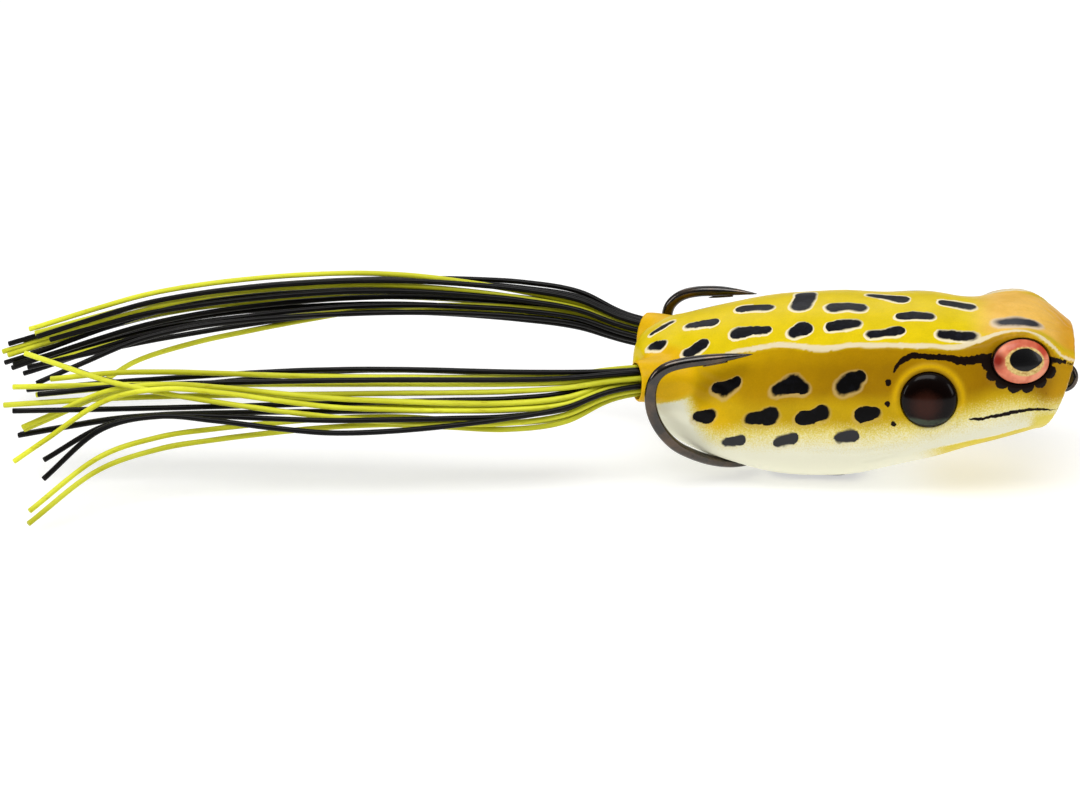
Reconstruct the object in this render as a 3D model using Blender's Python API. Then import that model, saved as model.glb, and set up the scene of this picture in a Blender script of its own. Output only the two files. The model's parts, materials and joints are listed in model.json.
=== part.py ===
"""Topwater popper: a hollow soft-bodied popping frog lure with a double hook and strand legs.

Lengths are millimetres, turned into metres where the meshes are made. The origin is the middle of
the belly weight's flat underside. +X points to the nose, +Y to the frog's left, +Z up.
"""

import math

import bmesh
import bpy
import numpy as np
from mathutils import Matrix, Vector

MM = 0.001
SIDES = {"right": -1, "left": 1}

# The body's outline along its length: (x, value). The sections between are smooth.
CREST_Z = ((-27.5, 20.8), (-24, 21.3), (-20, 22.1), (-15, 23.4), (-8, 24.9), (0, 25.7),
           (8, 25.8), (15, 26.0), (19, 25.5), (24, 25.3), (28, 25.1), (30.5, 24.5),
           (32.5, 23.5), (35, 21.9))
KEEL_Z = ((-27.5, 10.0), (-24, 7.6), (-20, 4.9), (-17, 3.4), (-13, 2.2), (-9, 1.2), (-5, 0.6),
          (0, 0.4), (4, 0.8), (8, 1.9), (12, 3.1), (16, 4.4), (20, 5.8), (24, 7.0), (29.5, 8.4))
RIDGE_Y = ((-27.5, 7.6), (-20, 8.6), (-15, 9.6), (-8, 10.3), (0, 10.6), (15, 10.6),
           (20, 10.0), (25, 9.2), (29, 8.6), (32.5, 7.7))
RIDGE_DROP = ((-27.5, 2.6), (-20, 3.0), (0, 3.1), (10, 3.2), (17, 2.9), (20, 2.7), (22, 2.1),
              (23.5, 1.35), (25, 0.9), (27, 0.65), (28.5, 0.75), (30, 1.0), (32.5, 1.4))
WIDE_Y = ((-27.5, 10.2), (-20, 11.0), (-15, 11.9), (-8, 12.7), (0, 13.0), (15, 12.9),
          (20, 12.5), (25, 11.8), (29, 10.6), (32.5, 9.3))
WIDE_Z = ((-27.5, 14.0), (-20, 12.0), (-15, 10.8), (-8, 10.0), (0, 9.8), (8, 10.2),
          (15, 11.0), (20, 12.0), (25, 13.0), (32.5, 14.3))
BELLY_SQUARENESS = 2.25
RUMP_X = -27.1
RUMP_START_X = -19.0
RUMP_Z = 15.8
RUMP_SQUARENESS = 2.6
WALL = 1.6
CAVITY_BACK_X = -25.2
CAVITY_FRONT_X = 26.0

# The mouth: its rim leans back towards the lower lip and bulges a little between the lips.
RIM_X = 32.0
RIM_Z = 14.2
RIM_LEAN = 0.37
RIM_BULGE = 0.5
RIM_HALF_HEIGHT = 6.5
LEAN_START_X = 17.0
CUP_ROWS = ((0.955, 0.45), (0.90, 0.35), (0.84, -0.5), (0.78, -2.0), (0.68, -3.3),
            (0.50, -4.2), (0.25, -4.6))
CUP_DEPTH = 4.7

BODY_COLUMNS = 36
BODY_STEP = 2.0
CAVITY_COLUMNS = 24
CAVITY_STEP = 3.0

# Leg sockets: one soft tube at each rear corner, splayed outwards.
SOCKET_START = (-17.0, 6.2, 15.8)
SOCKET_END = (-26.2, 9.7, 16.1)
SOCKET_START_RADIUS = 3.7
SOCKET_END_RADIUS = 3.05
BORE_RADIUS = 2.5
BORE_PAST_END = 3.0

# Eyes and ear domes, each set in its own pocket: place, outward direction, half sizes.
EYE_CENTRE = (27.1, 10.05, 20.95)
EYE_OUT = (0.26, 0.93, 0.27)
EYE_HALF_LENGTH = 4.1
EYE_HALF_HEIGHT = 3.15
EYE_DOME = 1.3
EAR_CENTRE = (14.6, 12.45, 15.75)
EAR_OUT = (0.04, 0.98, 0.16)
EAR_RADIUS = 3.87
EAR_DOME = 1.25
INSET_DEPTH = 0.6
POCKET_GAP = 0.2
POCKET_DEPTH = 0.85

# The belly weight: a grooved block with a flat underside that closes the slot in the belly.
WEIGHT_X = -0.6
WEIGHT_HALF_LENGTH = 6.4
WEIGHT_HALF_WIDTH = 4.5
WEIGHT_HEIGHT = 6.6
WEIGHT_CORNER = 2.2
WEIGHT_FLAT = 0.72
WEIGHT_CHINE_Z = 1.45
GROOVE_HALF_WIDTH = 2.3
GROOVE_FLOOR_Z = 1.6
SLOT_GAP = 0.35

# The double hook: one folded wire. These points run from the right point round the bend, along
# the shank to the nose, where the line-tie loop joins the two sides: (x, y outwards, z).
SHANK_HALF_GAP = 0.88
WIRE_RADIUS = 0.75
HOOK_ROUTE = ((-9.9, 11.9, 21.5), (-12.5, 12.3, 21.25), (-15.5, 12.8, 20.95), (-19.3, 13.4, 20.5),
              (-21.8, 13.75, 19.75), (-23.3, 13.9, 18.3), (-23.9, 13.9, 16.2),
              (-23.8, 13.9, 13.9), (-23.1, 13.8, 11.7), (-21.9, 13.2, 9.5), (-20.3, 12.2, 7.5),
              (-18.3, 10.7, 5.8), (-15.9, 8.6, 4.1), (-13.4, 6.3, 2.8), (-11.2, 4.4, 2.2),
              (-9.2, 2.6, 2.2), (-7.0, 1.3, 2.65), (-4.0, 0.92, 3.05), (4.0, SHANK_HALF_GAP, 3.9),
              (12.0, SHANK_HALF_GAP, 7.0), (20.0, SHANK_HALF_GAP, 10.35),
              (28.0, SHANK_HALF_GAP, 13.7))
# The left bend is sprung up and open a little against the right one.
LEFT_BEND = ((-9.9, 11.9, 21.7), (-12.5, 12.3, 21.75), (-15.3, 12.8, 21.65), (-18.6, 13.4, 21.25),
             (-21.0, 13.75, 20.4), (-22.6, 13.9, 18.8), (-23.1, 13.9, 16.6), (-23.1, 13.9, 14.1),
             (-22.7, 13.8, 11.8), (-21.8, 13.2, 9.5))
LEFT_BARB_LIFT = 0.55
LOOP_CENTRE = (33.85, 14.9)
LOOP_RADIUS = 1.45
LOOP_WIRE_RADIUS = 0.7
LOOP_OPEN_DEG = 125
LOOP_SHEAR = 0.75
LOOP_STEPS = 12
WIRE_STEP = 1.7
WIRE_SIDES = 8
LOOP_START_X = 31.5
POINT_LENGTH = 6.1
TIP_RADII = (0.06, 0.42, 0.66)
BARB_ROOT = (-13.6, 12.5, 20.9)
BARB_TIP = (-17.0, 13.0, 19.5)
BARB_RADIUS = 0.5
WIRE_CHANNEL_RADIUS = 1.15
CHANNEL_X = (-17.0, -3.5)
HOOK_MID_Z = 14.0
NOSE_HOLE_HALF_HEIGHT = 1.08
NOSE_HOLE_WIDENING = 1.85

# Rubber collars that band each bundle of strands inside the body.
COLLAR_BACK = 1.4
COLLAR_INNER_RADIUS = 2.36
COLLAR_OUTER_RADIUS = 3.0
COLLAR_LENGTH = 2.2
COLLAR_SEGMENTS = 24
COLLAR_SIDES = 8

# Strands: round rubber, packed in rows in the socket, then fanned out.
STRAND_RADIUS = 0.39
STRAND_SIDES = 6
STRAND_PITCH = 0.92
STRAND_SPACING = 0.93
SPACING_TURNS = 300
SLICE = 2.0
STRAIGHT_SLICES = 7
SLICES_PER_POINT = 4
SLOT_ROWS = (3, 4, 5, 4, 2)
STRAND_BACK = 4.0
STATION_X = (-40.0, -66.0, -95.0)
STRAND_FLOOR_Z = 0.65

# One row per strand: colour, then (y outwards, z) where it passes each station, then its tip.
RIGHT_STRANDS = (
    ("yellow", (12, 16), (13, 15.7), (14, 15), (-114, 14, 14)),
    ("yellow", (12.5, 15), (14, 14.5), (15, 13.5), (-115, 16, 12)),
    ("yellow", (14, 14), (16, 14.5), (17, 16), (-112, 18, 9.5)),
    ("yellow", (13.5, 13.5), (15, 13.5), (16, 15.3), (-112, 17, 8.7)),
    ("yellow", (14.5, 13), (17, 13.5), (19, 16), (-112.5, 22, 6)),
    ("yellow", (11, 16.8), (12, 16.5), (12, 16.2), (-109, 12, 14.6)),
    ("yellow", (14.5, 11.5), (16, 11.8), (22.5, 8.6), (-108, 33, 0.9)),
    ("yellow", (15, 11), (17, 11), (24, 7.5), (-107.5, 36, 0.9)),
    ("yellow", (14.5, 12), (18, 12.6), (17.5, 15.8), (-112, 14, 19.2)),
    ("yellow", (10.5, 15.5), (11.5, 15), (12, 14), (-111, 13, 12.5)),
    ("black", (10, 16.8), (10, 16.5), (9, 12.8), (-108, 8, 15)),
    ("black", (11.5, 17.6), (12, 17.3), (11, 14.5), (-113, 10, 12)),
    ("black", (13.5, 15), (16, 14), (18, 13), (-113, 19, 12.4)),
    ("black", (12, 12.5), (14, 12), (16, 11), (-113, 17, 8)),
    ("black", (11.5, 12.3), (13, 11.5), (14.5, 10.5), (-113, 15.5, 7.4)),
    ("black", (14.5, 12.5), (18.5, 12.3), (20, 12.4), (-108, 23, 6.8)),
    ("black", (15.2, 13), (20, 11.1), (22, 13), (-107.5, 26, 4.8)),
    ("black", (12.5, 17), (14.5, 16.8), (15, 15.3), (-110, 16, 13.8)),
)
LEFT_STRANDS = (
    ("yellow", (12.5, 20), (14, 22.4), (13.3, 19.5), (-117.5, 12, 12.8)),
    ("yellow", (12, 19.5), (12.5, 21.2), (12, 18.3), (-117, 11, 12.3)),
    ("yellow", (13.5, 19), (15, 19.8), (14.5, 16.8), (-122, 13, 8.8)),
    ("yellow", (12.5, 18.3), (14, 18.8), (13.5, 15.8), (-121, 12, 8.4)),
    ("yellow", (11.5, 17.5), (12, 17.6), (11, 14), (-117, 10, 8)),
    ("yellow", (11.5, 18.5), (11, 18), (7, 12.6), (-105, 4.5, 8)),
    ("black", (13, 20.3), (15, 21), (14.5, 17.7), (-121, 13, 9.8)),
    ("black", (12.5, 19.3), (13.5, 20), (13, 16.8), (-121.5, 12, 7.4)),
    ("black", (12, 18.6), (12.5, 19.2), (11.5, 15.4), (-120, 10, 7)),
    ("black", (11, 18), (11, 18.4), (10, 14.5), (-118, 9, 7)),
    ("black", (12, 17.3), (13, 18), (12.5, 14.8), (-120, 11, 7.6)),
    ("black", (13.8, 21.3), (16, 20.8), (15.5, 17.4), (-119, 14, 10)),
    ("black", (11.8, 20.8), (12, 22), (11.5, 18.8), (-116, 10.5, 12.3)),
    ("black", (13.8, 18), (16, 18.6), (15, 15.4), (-118, 13.5, 9)),
    ("black", (10.8, 17), (10, 17.8), (8.5, 13.6), (-117, 7.5, 8.5)),
    ("black", (13, 16.8), (14, 17), (13, 13.8), (-116, 12, 8)),
    ("black", (11, 19.6), (11.5, 20.6), (11, 17.2), (-114, 10, 12)),
    ("black", (10.8, 17.8), (9.5, 18), (5.5, 15.6), (-114, 0, 9)),
)


def clear_scene():
    for obj in list(bpy.data.objects):
        bpy.data.objects.remove(obj, do_unlink=True)


def material(name, colour, roughness, metallic=0.0):
    made = bpy.data.materials.new(name)
    made.use_nodes = True
    shader = made.node_tree.nodes["Principled BSDF"]
    shader.inputs["Base Color"].default_value = (*colour, 1.0)
    shader.inputs["Roughness"].default_value = roughness
    shader.inputs["Metallic"].default_value = metallic
    made.diffuse_color = (*colour, 1.0)
    return made


def make_materials():
    return {
        "skin": material("soft_skin", (0.80, 0.58, 0.02), 0.35),
        "wire": material("black_nickel", (0.10, 0.10, 0.11), 0.22, 1.0),
        "weight": material("weight_metal", (0.30, 0.30, 0.31), 0.45, 1.0),
        "eye": material("eye_dome", (0.70, 0.19, 0.09), 0.12),
        "ear": material("ear_dome", (0.03, 0.012, 0.01), 0.10),
        "collar": material("collar_rubber", (0.03, 0.03, 0.03), 0.6),
        "yellow": material("strand_yellow", (0.58, 0.58, 0.03), 0.32),
        "black": material("strand_black", (0.014, 0.012, 0.012), 0.32),
    }


def smooth(table, x):
    """The value at x of the smooth curve through the table's (x, value) points."""
    xs, values = np.array(table, float).T
    slopes = np.gradient(values, xs)
    x = min(max(x, xs[0]), xs[-1])
    i = min(int(np.searchsorted(xs, x, side="right")) - 1, len(xs) - 2)
    step = xs[i + 1] - xs[i]
    t = (x - xs[i]) / step
    ends = values[i] * (1 + 2 * t) * (1 - t) ** 2 + values[i + 1] * t * t * (3 - 2 * t)
    return ends + step * (slopes[i] * t * (1 - t) ** 2 - slopes[i + 1] * t * t * (1 - t))


def through(points, spacing):
    """A polyline along the Catmull-Rom curve through the points, its steps about spacing long."""
    pts = [Vector(p) for p in points]
    pts = [2 * pts[0] - pts[1], *pts, 2 * pts[-1] - pts[-2]]
    line = []
    for a, b, c, d in zip(pts, pts[1:], pts[2:], pts[3:]):
        count = max(1, round((c - b).length / spacing))
        for k in range(count):
            t = k / count
            bend = (2 * a - 5 * b + 4 * c - d) * t * t + (3 * b - a - 3 * c + d) * t ** 3
            line.append((2 * b + (c - a) * t + bend) / 2)
    line.append(pts[-2])
    return line


def rump_scale(x):
    """How much of its full size a section keeps as the rump rounds off."""
    t = max(0.0, (RUMP_START_X - x) / (RUMP_START_X - RUMP_X))
    return max(0.0, 1 - t ** RUMP_SQUARENESS) ** (1 / RUMP_SQUARENESS)


def leaned(x, z):
    """The x of a point at height z on the section at x: near the mouth the sections lean."""
    lean = min(1.0, max(0.0, (x - LEAN_START_X) / (RIM_X - LEAN_START_X))) ** 2
    h = (z - RIM_Z) / RIM_HALF_HEIGHT
    return x + lean * (RIM_LEAN * (z - RIM_Z) + RIM_BULGE * (1 - h * h))


def section_heights(x):
    """Crest and keel heights of the section at x, read where its leaned ends really are."""
    crest = smooth(CREST_Z, x)
    keel = smooth(KEEL_Z, x)
    for _ in range(4):
        crest = smooth(CREST_Z, leaned(x, crest))
        keel = smooth(KEEL_Z, leaned(x, keel))
    return crest, keel


def half_section(x, count, inset=0.0):
    """(y, z) from crest to keel down the frog's left side, count + 1 points."""
    crest, keel = section_heights(x)
    ridge_y = smooth(RIDGE_Y, x)
    ridge_z = crest - smooth(RIDGE_DROP, x)
    wide_y = smooth(WIDE_Y, x)
    wide_z = smooth(WIDE_Z, x)
    back, flank = round(count * 0.28), round(count * 0.32)
    outline = [(ridge_y * k / back, crest - (crest - ridge_z) * (k / back) ** 2)
               for k in range(back)]
    for k in range(flank):
        u = k / flank
        y = ridge_y + (wide_y - ridge_y) * math.sin(u * math.pi / 2)
        outline.append((y, ridge_z + (wide_z - ridge_z) * u))
    belly = count - back - flank
    power = 2 / BELLY_SQUARENESS
    for k in range(belly + 1):
        angle = k / belly * math.pi / 2
        across = max(0.0, math.cos(angle)) ** power
        down = math.sin(angle) ** power
        outline.append((wide_y * across, wide_z - (wide_z - keel) * down))
    scale = rump_scale(x)
    points = np.array(outline)
    points = np.column_stack([points[:, 0] * scale, RUMP_Z + (points[:, 1] - RUMP_Z) * scale])
    if inset:
        along = np.gradient(points, axis=0)
        along /= np.linalg.norm(along, axis=1)[:, None]
        along[0], along[-1] = (1, 0), (-1, 0)
        points += inset * np.column_stack([along[:, 1], -along[:, 0]])
        points[:, 0] = np.maximum(points[:, 0], 0)
    return points


def ring_at(x, columns, inset=0.0):
    """The whole section at x as 3-D points: down the left side and back up the right."""
    half = half_section(x, columns // 2, inset)
    loop = [*half, *[(-y, z) for y, z in half[-2:0:-1]]]
    return [Vector((leaned(x, z), y, z)) for y, z in loop]


def loft(name, rings, start, end):
    """A closed mesh through equal rings, with a point at each end."""
    mesh = bmesh.new()
    rows = [[mesh.verts.new(p * MM) for p in ring] for ring in rings]
    for near, far in zip(rows, rows[1:]):
        for k in range(len(near)):
            n = (k + 1) % len(near)
            mesh.faces.new((near[k], near[n], far[n], far[k]))
    for row, tip in ((rows[0], start), (rows[-1], end)):
        pole = mesh.verts.new(Vector(tip) * MM)
        for k in range(len(row)):
            mesh.faces.new((row[k], row[(k + 1) % len(row)], pole))
    bmesh.ops.recalc_face_normals(mesh, faces=mesh.faces)
    return finish_mesh(name, mesh)


def finish_mesh(name, mesh):
    data = bpy.data.meshes.new(name)
    mesh.to_mesh(data)
    mesh.free()
    for face in data.polygons:
        face.use_smooth = True
    obj = bpy.data.objects.new(name, data)
    bpy.context.scene.collection.objects.link(obj)
    return obj


def tube(name, line, radii, sides):
    """A closed tube along a polyline, its radius given at each point."""
    mesh = bmesh.new()
    across = None
    rows = []
    for i, point in enumerate(line):
        ahead = (line[min(i + 1, len(line) - 1)] - line[max(i - 1, 0)]).normalized()
        if across is None:
            across = ahead.orthogonal().normalized()
        across = (across - across.dot(ahead) * ahead).normalized()
        other = ahead.cross(across)
        angles = [2 * math.pi * k / sides for k in range(sides)]
        rows.append([mesh.verts.new((point + radii[i] * (across * math.cos(a) + other * math.sin(a)))
                                    * MM) for a in angles])
    for near, far in zip(rows, rows[1:]):
        for k in range(sides):
            n = (k + 1) % sides
            mesh.faces.new((near[k], near[n], far[n], far[k]))
    mesh.faces.new(rows[0])
    mesh.faces.new(rows[-1])
    bmesh.ops.recalc_face_normals(mesh, faces=mesh.faces)
    return finish_mesh(name, mesh)


def as_cutter(obj):
    obj.hide_render = True
    obj.display_type = "WIRE"
    return obj


def boolean(obj, other, operation):
    modifier = obj.modifiers.new(operation.lower() + "_" + other.name, "BOOLEAN")
    modifier.operation = operation
    modifier.solver = "EXACT"
    modifier.object = other


def outward_frame(centre, out, side):
    """A matrix at a point of the skin, mirrored to its side: X forwards, Y up, Z outwards."""
    place = Vector((centre[0], side * centre[1], centre[2])) * MM
    normal = Vector((out[0], side * out[1], out[2])).normalized()
    forwards = (Vector((1, 0, 0)) - normal.x * normal).normalized()
    up = normal.cross(forwards)
    basis = Matrix((forwards, up, normal)).transposed()
    return Matrix.Translation(place) @ basis.to_4x4()


def disc(name, radii_x_y, layers, sides=32):
    """A round solid from (scale, height) layers, outwards along its own Z, with flat ends."""
    mesh = bmesh.new()
    rows = []
    for scale, height in layers:
        rows.append([mesh.verts.new((scale * radii_x_y[0] * math.cos(a) * MM,
                                     scale * radii_x_y[1] * math.sin(a) * MM, height * MM))
                     for a in [2 * math.pi * k / sides for k in range(sides)]])
    for near, far in zip(rows, rows[1:]):
        for k in range(sides):
            n = (k + 1) % sides
            mesh.faces.new((near[k], near[n], far[n], far[k]))
    mesh.faces.new(rows[0])
    mesh.faces.new(rows[-1])
    bmesh.ops.recalc_face_normals(mesh, faces=mesh.faces)
    return finish_mesh(name, mesh)


def dome(name, centre, out, side, radii, height, slot):
    """An eye or ear dome: a short rim in its pocket under a rounded cap."""
    layers = [(0.94, -INSET_DEPTH), (1.0, -INSET_DEPTH + 0.15), (1.0, 0.0)]
    for angle in (18, 38, 58, 78):
        a = math.radians(angle)
        layers.append((math.cos(a), height * math.sin(a)))
    made = disc(name, radii, layers, sides=24)
    made.matrix_world = outward_frame(centre, out, side)
    made.data.materials.append(slot)
    return made


def pocket(name, centre, out, side, radii):
    grown = [r + POCKET_GAP for r in radii]
    made = disc(name, grown, [(1.0, -POCKET_DEPTH), (1.0, 2.5)], sides=32)
    made.matrix_world = outward_frame(centre, out, side)
    return as_cutter(made)


def mirrored(point, side):
    return Vector((point[0], side * point[1], point[2]))


def socket_axis(side):
    start = mirrored(SOCKET_START, side)
    end = mirrored(SOCKET_END, side)
    return start, end, (end - start).normalized()


def body_surface():
    """The skin's outer surface, folded in at the mouth to form the popping cup."""
    xs = [RUMP_X + d for d in (0.12, 0.5, 1.2, 2.2, 3.5)]
    while xs[-1] < RIM_X - BODY_STEP:
        xs.append(xs[-1] + BODY_STEP)
    xs[-1] = RIM_X
    rings = [ring_at(x, BODY_COLUMNS) for x in xs]
    rim = rings[-1]
    centre = sum(rim, Vector()) / len(rim)
    for scale, forwards in CUP_ROWS:
        rings.append([centre + (p - centre) * scale + Vector((forwards, 0, 0)) for p in rim])
    cup_floor = centre + Vector((-CUP_DEPTH, 0, 0))
    return loft("body_shell", rings, (RUMP_X, 0, RUMP_Z), cup_floor)


def body_cavity():
    count = round((CAVITY_FRONT_X - CAVITY_BACK_X) / CAVITY_STEP)
    xs = [CAVITY_BACK_X + (CAVITY_FRONT_X - CAVITY_BACK_X) * k / count for k in range(count + 1)]
    rings = []
    for x in xs:
        half = half_section(x, CAVITY_COLUMNS // 2, WALL)
        loop = [*half, *[(-y, z) for y, z in half[-2:0:-1]]]
        rings.append([Vector((x, y, z)) for y, z in loop])
    middle = sum(rings[-1], Vector()) / len(rings[-1])
    last = [Vector((CAVITY_FRONT_X + 0.4, p.y * 0.8, middle.z + (p.z - middle.z) * 0.8))
            for p in rings[-1]]
    start = (CAVITY_BACK_X - 0.2, 0, RUMP_Z)
    end = (CAVITY_FRONT_X + 0.5, 0, middle.z)
    return as_cutter(loft("cavity_cutter", [*rings, last], start, end))


def socket_tube(name, side):
    start, end, along = socket_axis(side)
    line = [start, start + (end - start) * 0.5, end - along * 0.7, end - along * 0.2, end]
    middle = (SOCKET_START_RADIUS + SOCKET_END_RADIUS) / 2
    radii = [SOCKET_START_RADIUS, middle, SOCKET_END_RADIUS, SOCKET_END_RADIUS - 0.1,
             SOCKET_END_RADIUS - 0.35]
    return as_cutter(tube(name, line, radii, 28))


def socket_bore(name, side):
    start, end, along = socket_axis(side)
    line = [start - along, end + along * BORE_PAST_END]
    return as_cutter(tube(name, line, [BORE_RADIUS] * 2, 24))


def wire_route(side):
    """The wire's centre line from one point to the end of the shank at the nose."""
    route = HOOK_ROUTE if side < 0 else LEFT_BEND + HOOK_ROUTE[len(LEFT_BEND):]
    return through([mirrored(p, side) for p in route], WIRE_STEP)


def wire_channel(name, side):
    """Cuts the slit that one shank leaves the belly through."""
    line = [p for p in wire_route(side) if CHANNEL_X[0] < p.x < CHANNEL_X[1] and p.z < HOOK_MID_Z]
    return as_cutter(tube(name, line, [WIRE_CHANNEL_RADIUS] * len(line), 12))


def nose_hole():
    """Cuts the flat hole that the twin shank passes through at the back of the cup."""
    a = mirrored(HOOK_ROUTE[-2], 0)
    b = mirrored(HOOK_ROUTE[-1], 0)
    along = (b - a).normalized()
    line = [b - along * 4, b + along * 5]
    made = tube("nose_cutter", line, [NOSE_HOLE_HALF_HEIGHT] * 2, 20)
    made.matrix_world = Matrix.Diagonal((1, NOSE_HOLE_WIDENING, 1, 1))
    return as_cutter(made)


def weight_outline(scale, grow=0.0):
    """A rounded rectangle, WEIGHT_CORNER at its corners."""
    half_x = WEIGHT_HALF_LENGTH * scale + grow
    half_y = WEIGHT_HALF_WIDTH * scale + grow
    corner = WEIGHT_CORNER * scale + grow
    points = []
    for quarter, (sx, sy) in enumerate(((1, 1), (-1, 1), (-1, -1), (1, -1))):
        for k in range(5):
            a = math.radians(90 * quarter + 22.5 * k)
            points.append((WEIGHT_X + sx * (half_x - corner) + corner * math.cos(a),
                           sy * (half_y - corner) + corner * math.sin(a)))
    return points


def prism(name, layers):
    """A closed solid through (outline, z) layers, with flat ends."""
    mesh = bmesh.new()
    rows = [[mesh.verts.new((x * MM, y * MM, z * MM)) for x, y in outline]
            for outline, z in layers]
    for near, far in zip(rows, rows[1:]):
        for k in range(len(near)):
            n = (k + 1) % len(near)
            mesh.faces.new((near[k], near[n], far[n], far[k]))
    mesh.faces.new(rows[0])
    mesh.faces.new(rows[-1])
    bmesh.ops.recalc_face_normals(mesh, faces=mesh.faces)
    made = finish_mesh(name, mesh)
    for face in made.data.polygons:
        face.use_smooth = False
    return made


def body_shell(slots):
    shell = body_surface()
    shell.data.materials.append(slots["skin"])
    eye_radii = (EYE_HALF_LENGTH, EYE_HALF_HEIGHT)
    for name, side in SIDES.items():
        boolean(shell, socket_tube(f"socket_{name}", side), "UNION")
    boolean(shell, body_cavity(), "DIFFERENCE")
    for name, side in SIDES.items():
        boolean(shell, socket_bore(f"bore_cutter_{name}", side), "DIFFERENCE")
        eye = pocket(f"eye_cutter_{name}", EYE_CENTRE, EYE_OUT, side, eye_radii)
        boolean(shell, eye, "DIFFERENCE")
        ear = pocket(f"ear_cutter_{name}", EAR_CENTRE, EAR_OUT, side, (EAR_RADIUS,) * 2)
        boolean(shell, ear, "DIFFERENCE")
        boolean(shell, wire_channel(f"wire_cutter_{name}", side), "DIFFERENCE")
    slot = as_cutter(prism("slot_cutter", [(weight_outline(1, SLOT_GAP), -2),
                                           (weight_outline(1, SLOT_GAP), 5.0)]))
    boolean(shell, slot, "DIFFERENCE")
    boolean(shell, nose_hole(), "DIFFERENCE")


def hook_line():
    """The whole wire: right point, right shank, line-tie loop, left shank, left point."""
    right = wire_route(-1)
    left = wire_route(1)
    loop = []
    for k in range(LOOP_STEPS + 1):
        t = k / LOOP_STEPS
        a = math.radians(-180 + LOOP_OPEN_DEG / 2 + t * (360 - LOOP_OPEN_DEG))
        y = LOOP_SHEAR * SHANK_HALF_GAP * (2 * t - 1)
        loop.append(Vector((LOOP_CENTRE[0] + LOOP_RADIUS * math.cos(a), y,
                            LOOP_CENTRE[1] + LOOP_RADIUS * math.sin(a))))
    return right + loop + left[::-1]


def hook_radii(line):
    """The wire's radius at each point of its line: it tapers to both points."""
    radii = []
    for p in line:
        radius = LOOP_WIRE_RADIUS if p.x > LOOP_START_X else WIRE_RADIUS
        if p.z > HOOK_MID_Z and p.x < HOOK_ROUTE[0][0]:
            back = (HOOK_ROUTE[0][0] - p.x) / POINT_LENGTH
            radius = float(np.interp(back, (0, 0.45, 0.8, 1), (*TIP_RADII, radius)))
        radii.append(radius)
    return radii


def barb(name, side):
    lift = Vector((0, 0, LEFT_BARB_LIFT if side > 0 else 0))
    line = [mirrored(BARB_ROOT, side) + lift, mirrored(BARB_TIP, side) + lift]
    line.insert(1, line[0].lerp(line[1], 0.5))
    return as_cutter(tube(name, line, [BARB_RADIUS, BARB_RADIUS * 0.75, 0.05], 8))


def double_hook(slots):
    line = hook_line()
    hook = tube("double_hook", line, hook_radii(line), WIRE_SIDES)
    hook.data.materials.append(slots["wire"])
    for name, side in SIDES.items():
        boolean(hook, barb(f"barb_{name}", side), "UNION")


def belly_weight(slots):
    layers = [(weight_outline(WEIGHT_FLAT), 0.0), (weight_outline(1), WEIGHT_CHINE_Z),
              (weight_outline(1), WEIGHT_HEIGHT - 0.6), (weight_outline(0.93), WEIGHT_HEIGHT)]
    weight = prism("belly_weight", layers)
    weight.data.materials.append(slots["weight"])
    half_x = WEIGHT_HALF_LENGTH + 2
    groove = [(WEIGHT_X + sx * half_x, sy * GROOVE_HALF_WIDTH)
              for sx, sy in ((1, 1), (-1, 1), (-1, -1), (1, -1))]
    cutter = as_cutter(prism("groove_cutter", [(groove, GROOVE_FLOOR_Z),
                                               (groove, WEIGHT_HEIGHT + 2)]))
    boolean(weight, cutter, "DIFFERENCE")


def collar(name, side, slot):
    """A short ring round the strands, on the socket's axis inside the body."""
    start, _, along = socket_axis(side)
    middle = start - along * COLLAR_BACK
    profile = []
    mean = (COLLAR_INNER_RADIUS + COLLAR_OUTER_RADIUS) / 2
    half = (COLLAR_OUTER_RADIUS - COLLAR_INNER_RADIUS) / 2
    for k in range(COLLAR_SIDES):
        a = 2 * math.pi * (k + 0.5) / COLLAR_SIDES
        profile.append((mean + half * math.cos(a), COLLAR_LENGTH / 2 * math.sin(a)))
    mesh = bmesh.new()
    rows = []
    for k in range(COLLAR_SEGMENTS):
        a = 2 * math.pi * k / COLLAR_SEGMENTS
        rows.append([mesh.verts.new((r * math.cos(a) * MM, r * math.sin(a) * MM, h * MM))
                     for r, h in profile])
    for k, near in enumerate(rows):
        far = rows[(k + 1) % COLLAR_SEGMENTS]
        for j in range(COLLAR_SIDES):
            n = (j + 1) % COLLAR_SIDES
            mesh.faces.new((near[j], near[n], far[n], far[j]))
    bmesh.ops.recalc_face_normals(mesh, faces=mesh.faces)
    made = finish_mesh(name, mesh)
    made.matrix_world = (Matrix.Translation(middle * MM)
                         @ along.to_track_quat("Z", "Y").to_matrix().to_4x4())
    made.data.materials.append(slot)
    return made


def slot_offsets():
    """Places of the strands across the socket, row by row from the top: (outwards, up)."""
    places = []
    for row, count in enumerate(SLOT_ROWS):
        up = (2 - row) * STRAND_PITCH * math.sqrt(3) / 2
        places.append([((k - (count - 1) / 2) * STRAND_PITCH, up) for k in range(count)])
    return places


def packed(strands):
    """Gives each strand the place in the socket that suits where it goes: highest on top."""
    order = sorted(range(len(strands)), key=lambda i: -strands[i][1][1])
    places = {}
    for row in slot_offsets():
        chosen = sorted((order.pop(0) for _ in row), key=lambda i: strands[i][1][0])
        places.update(zip(chosen, row))
    return places


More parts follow.
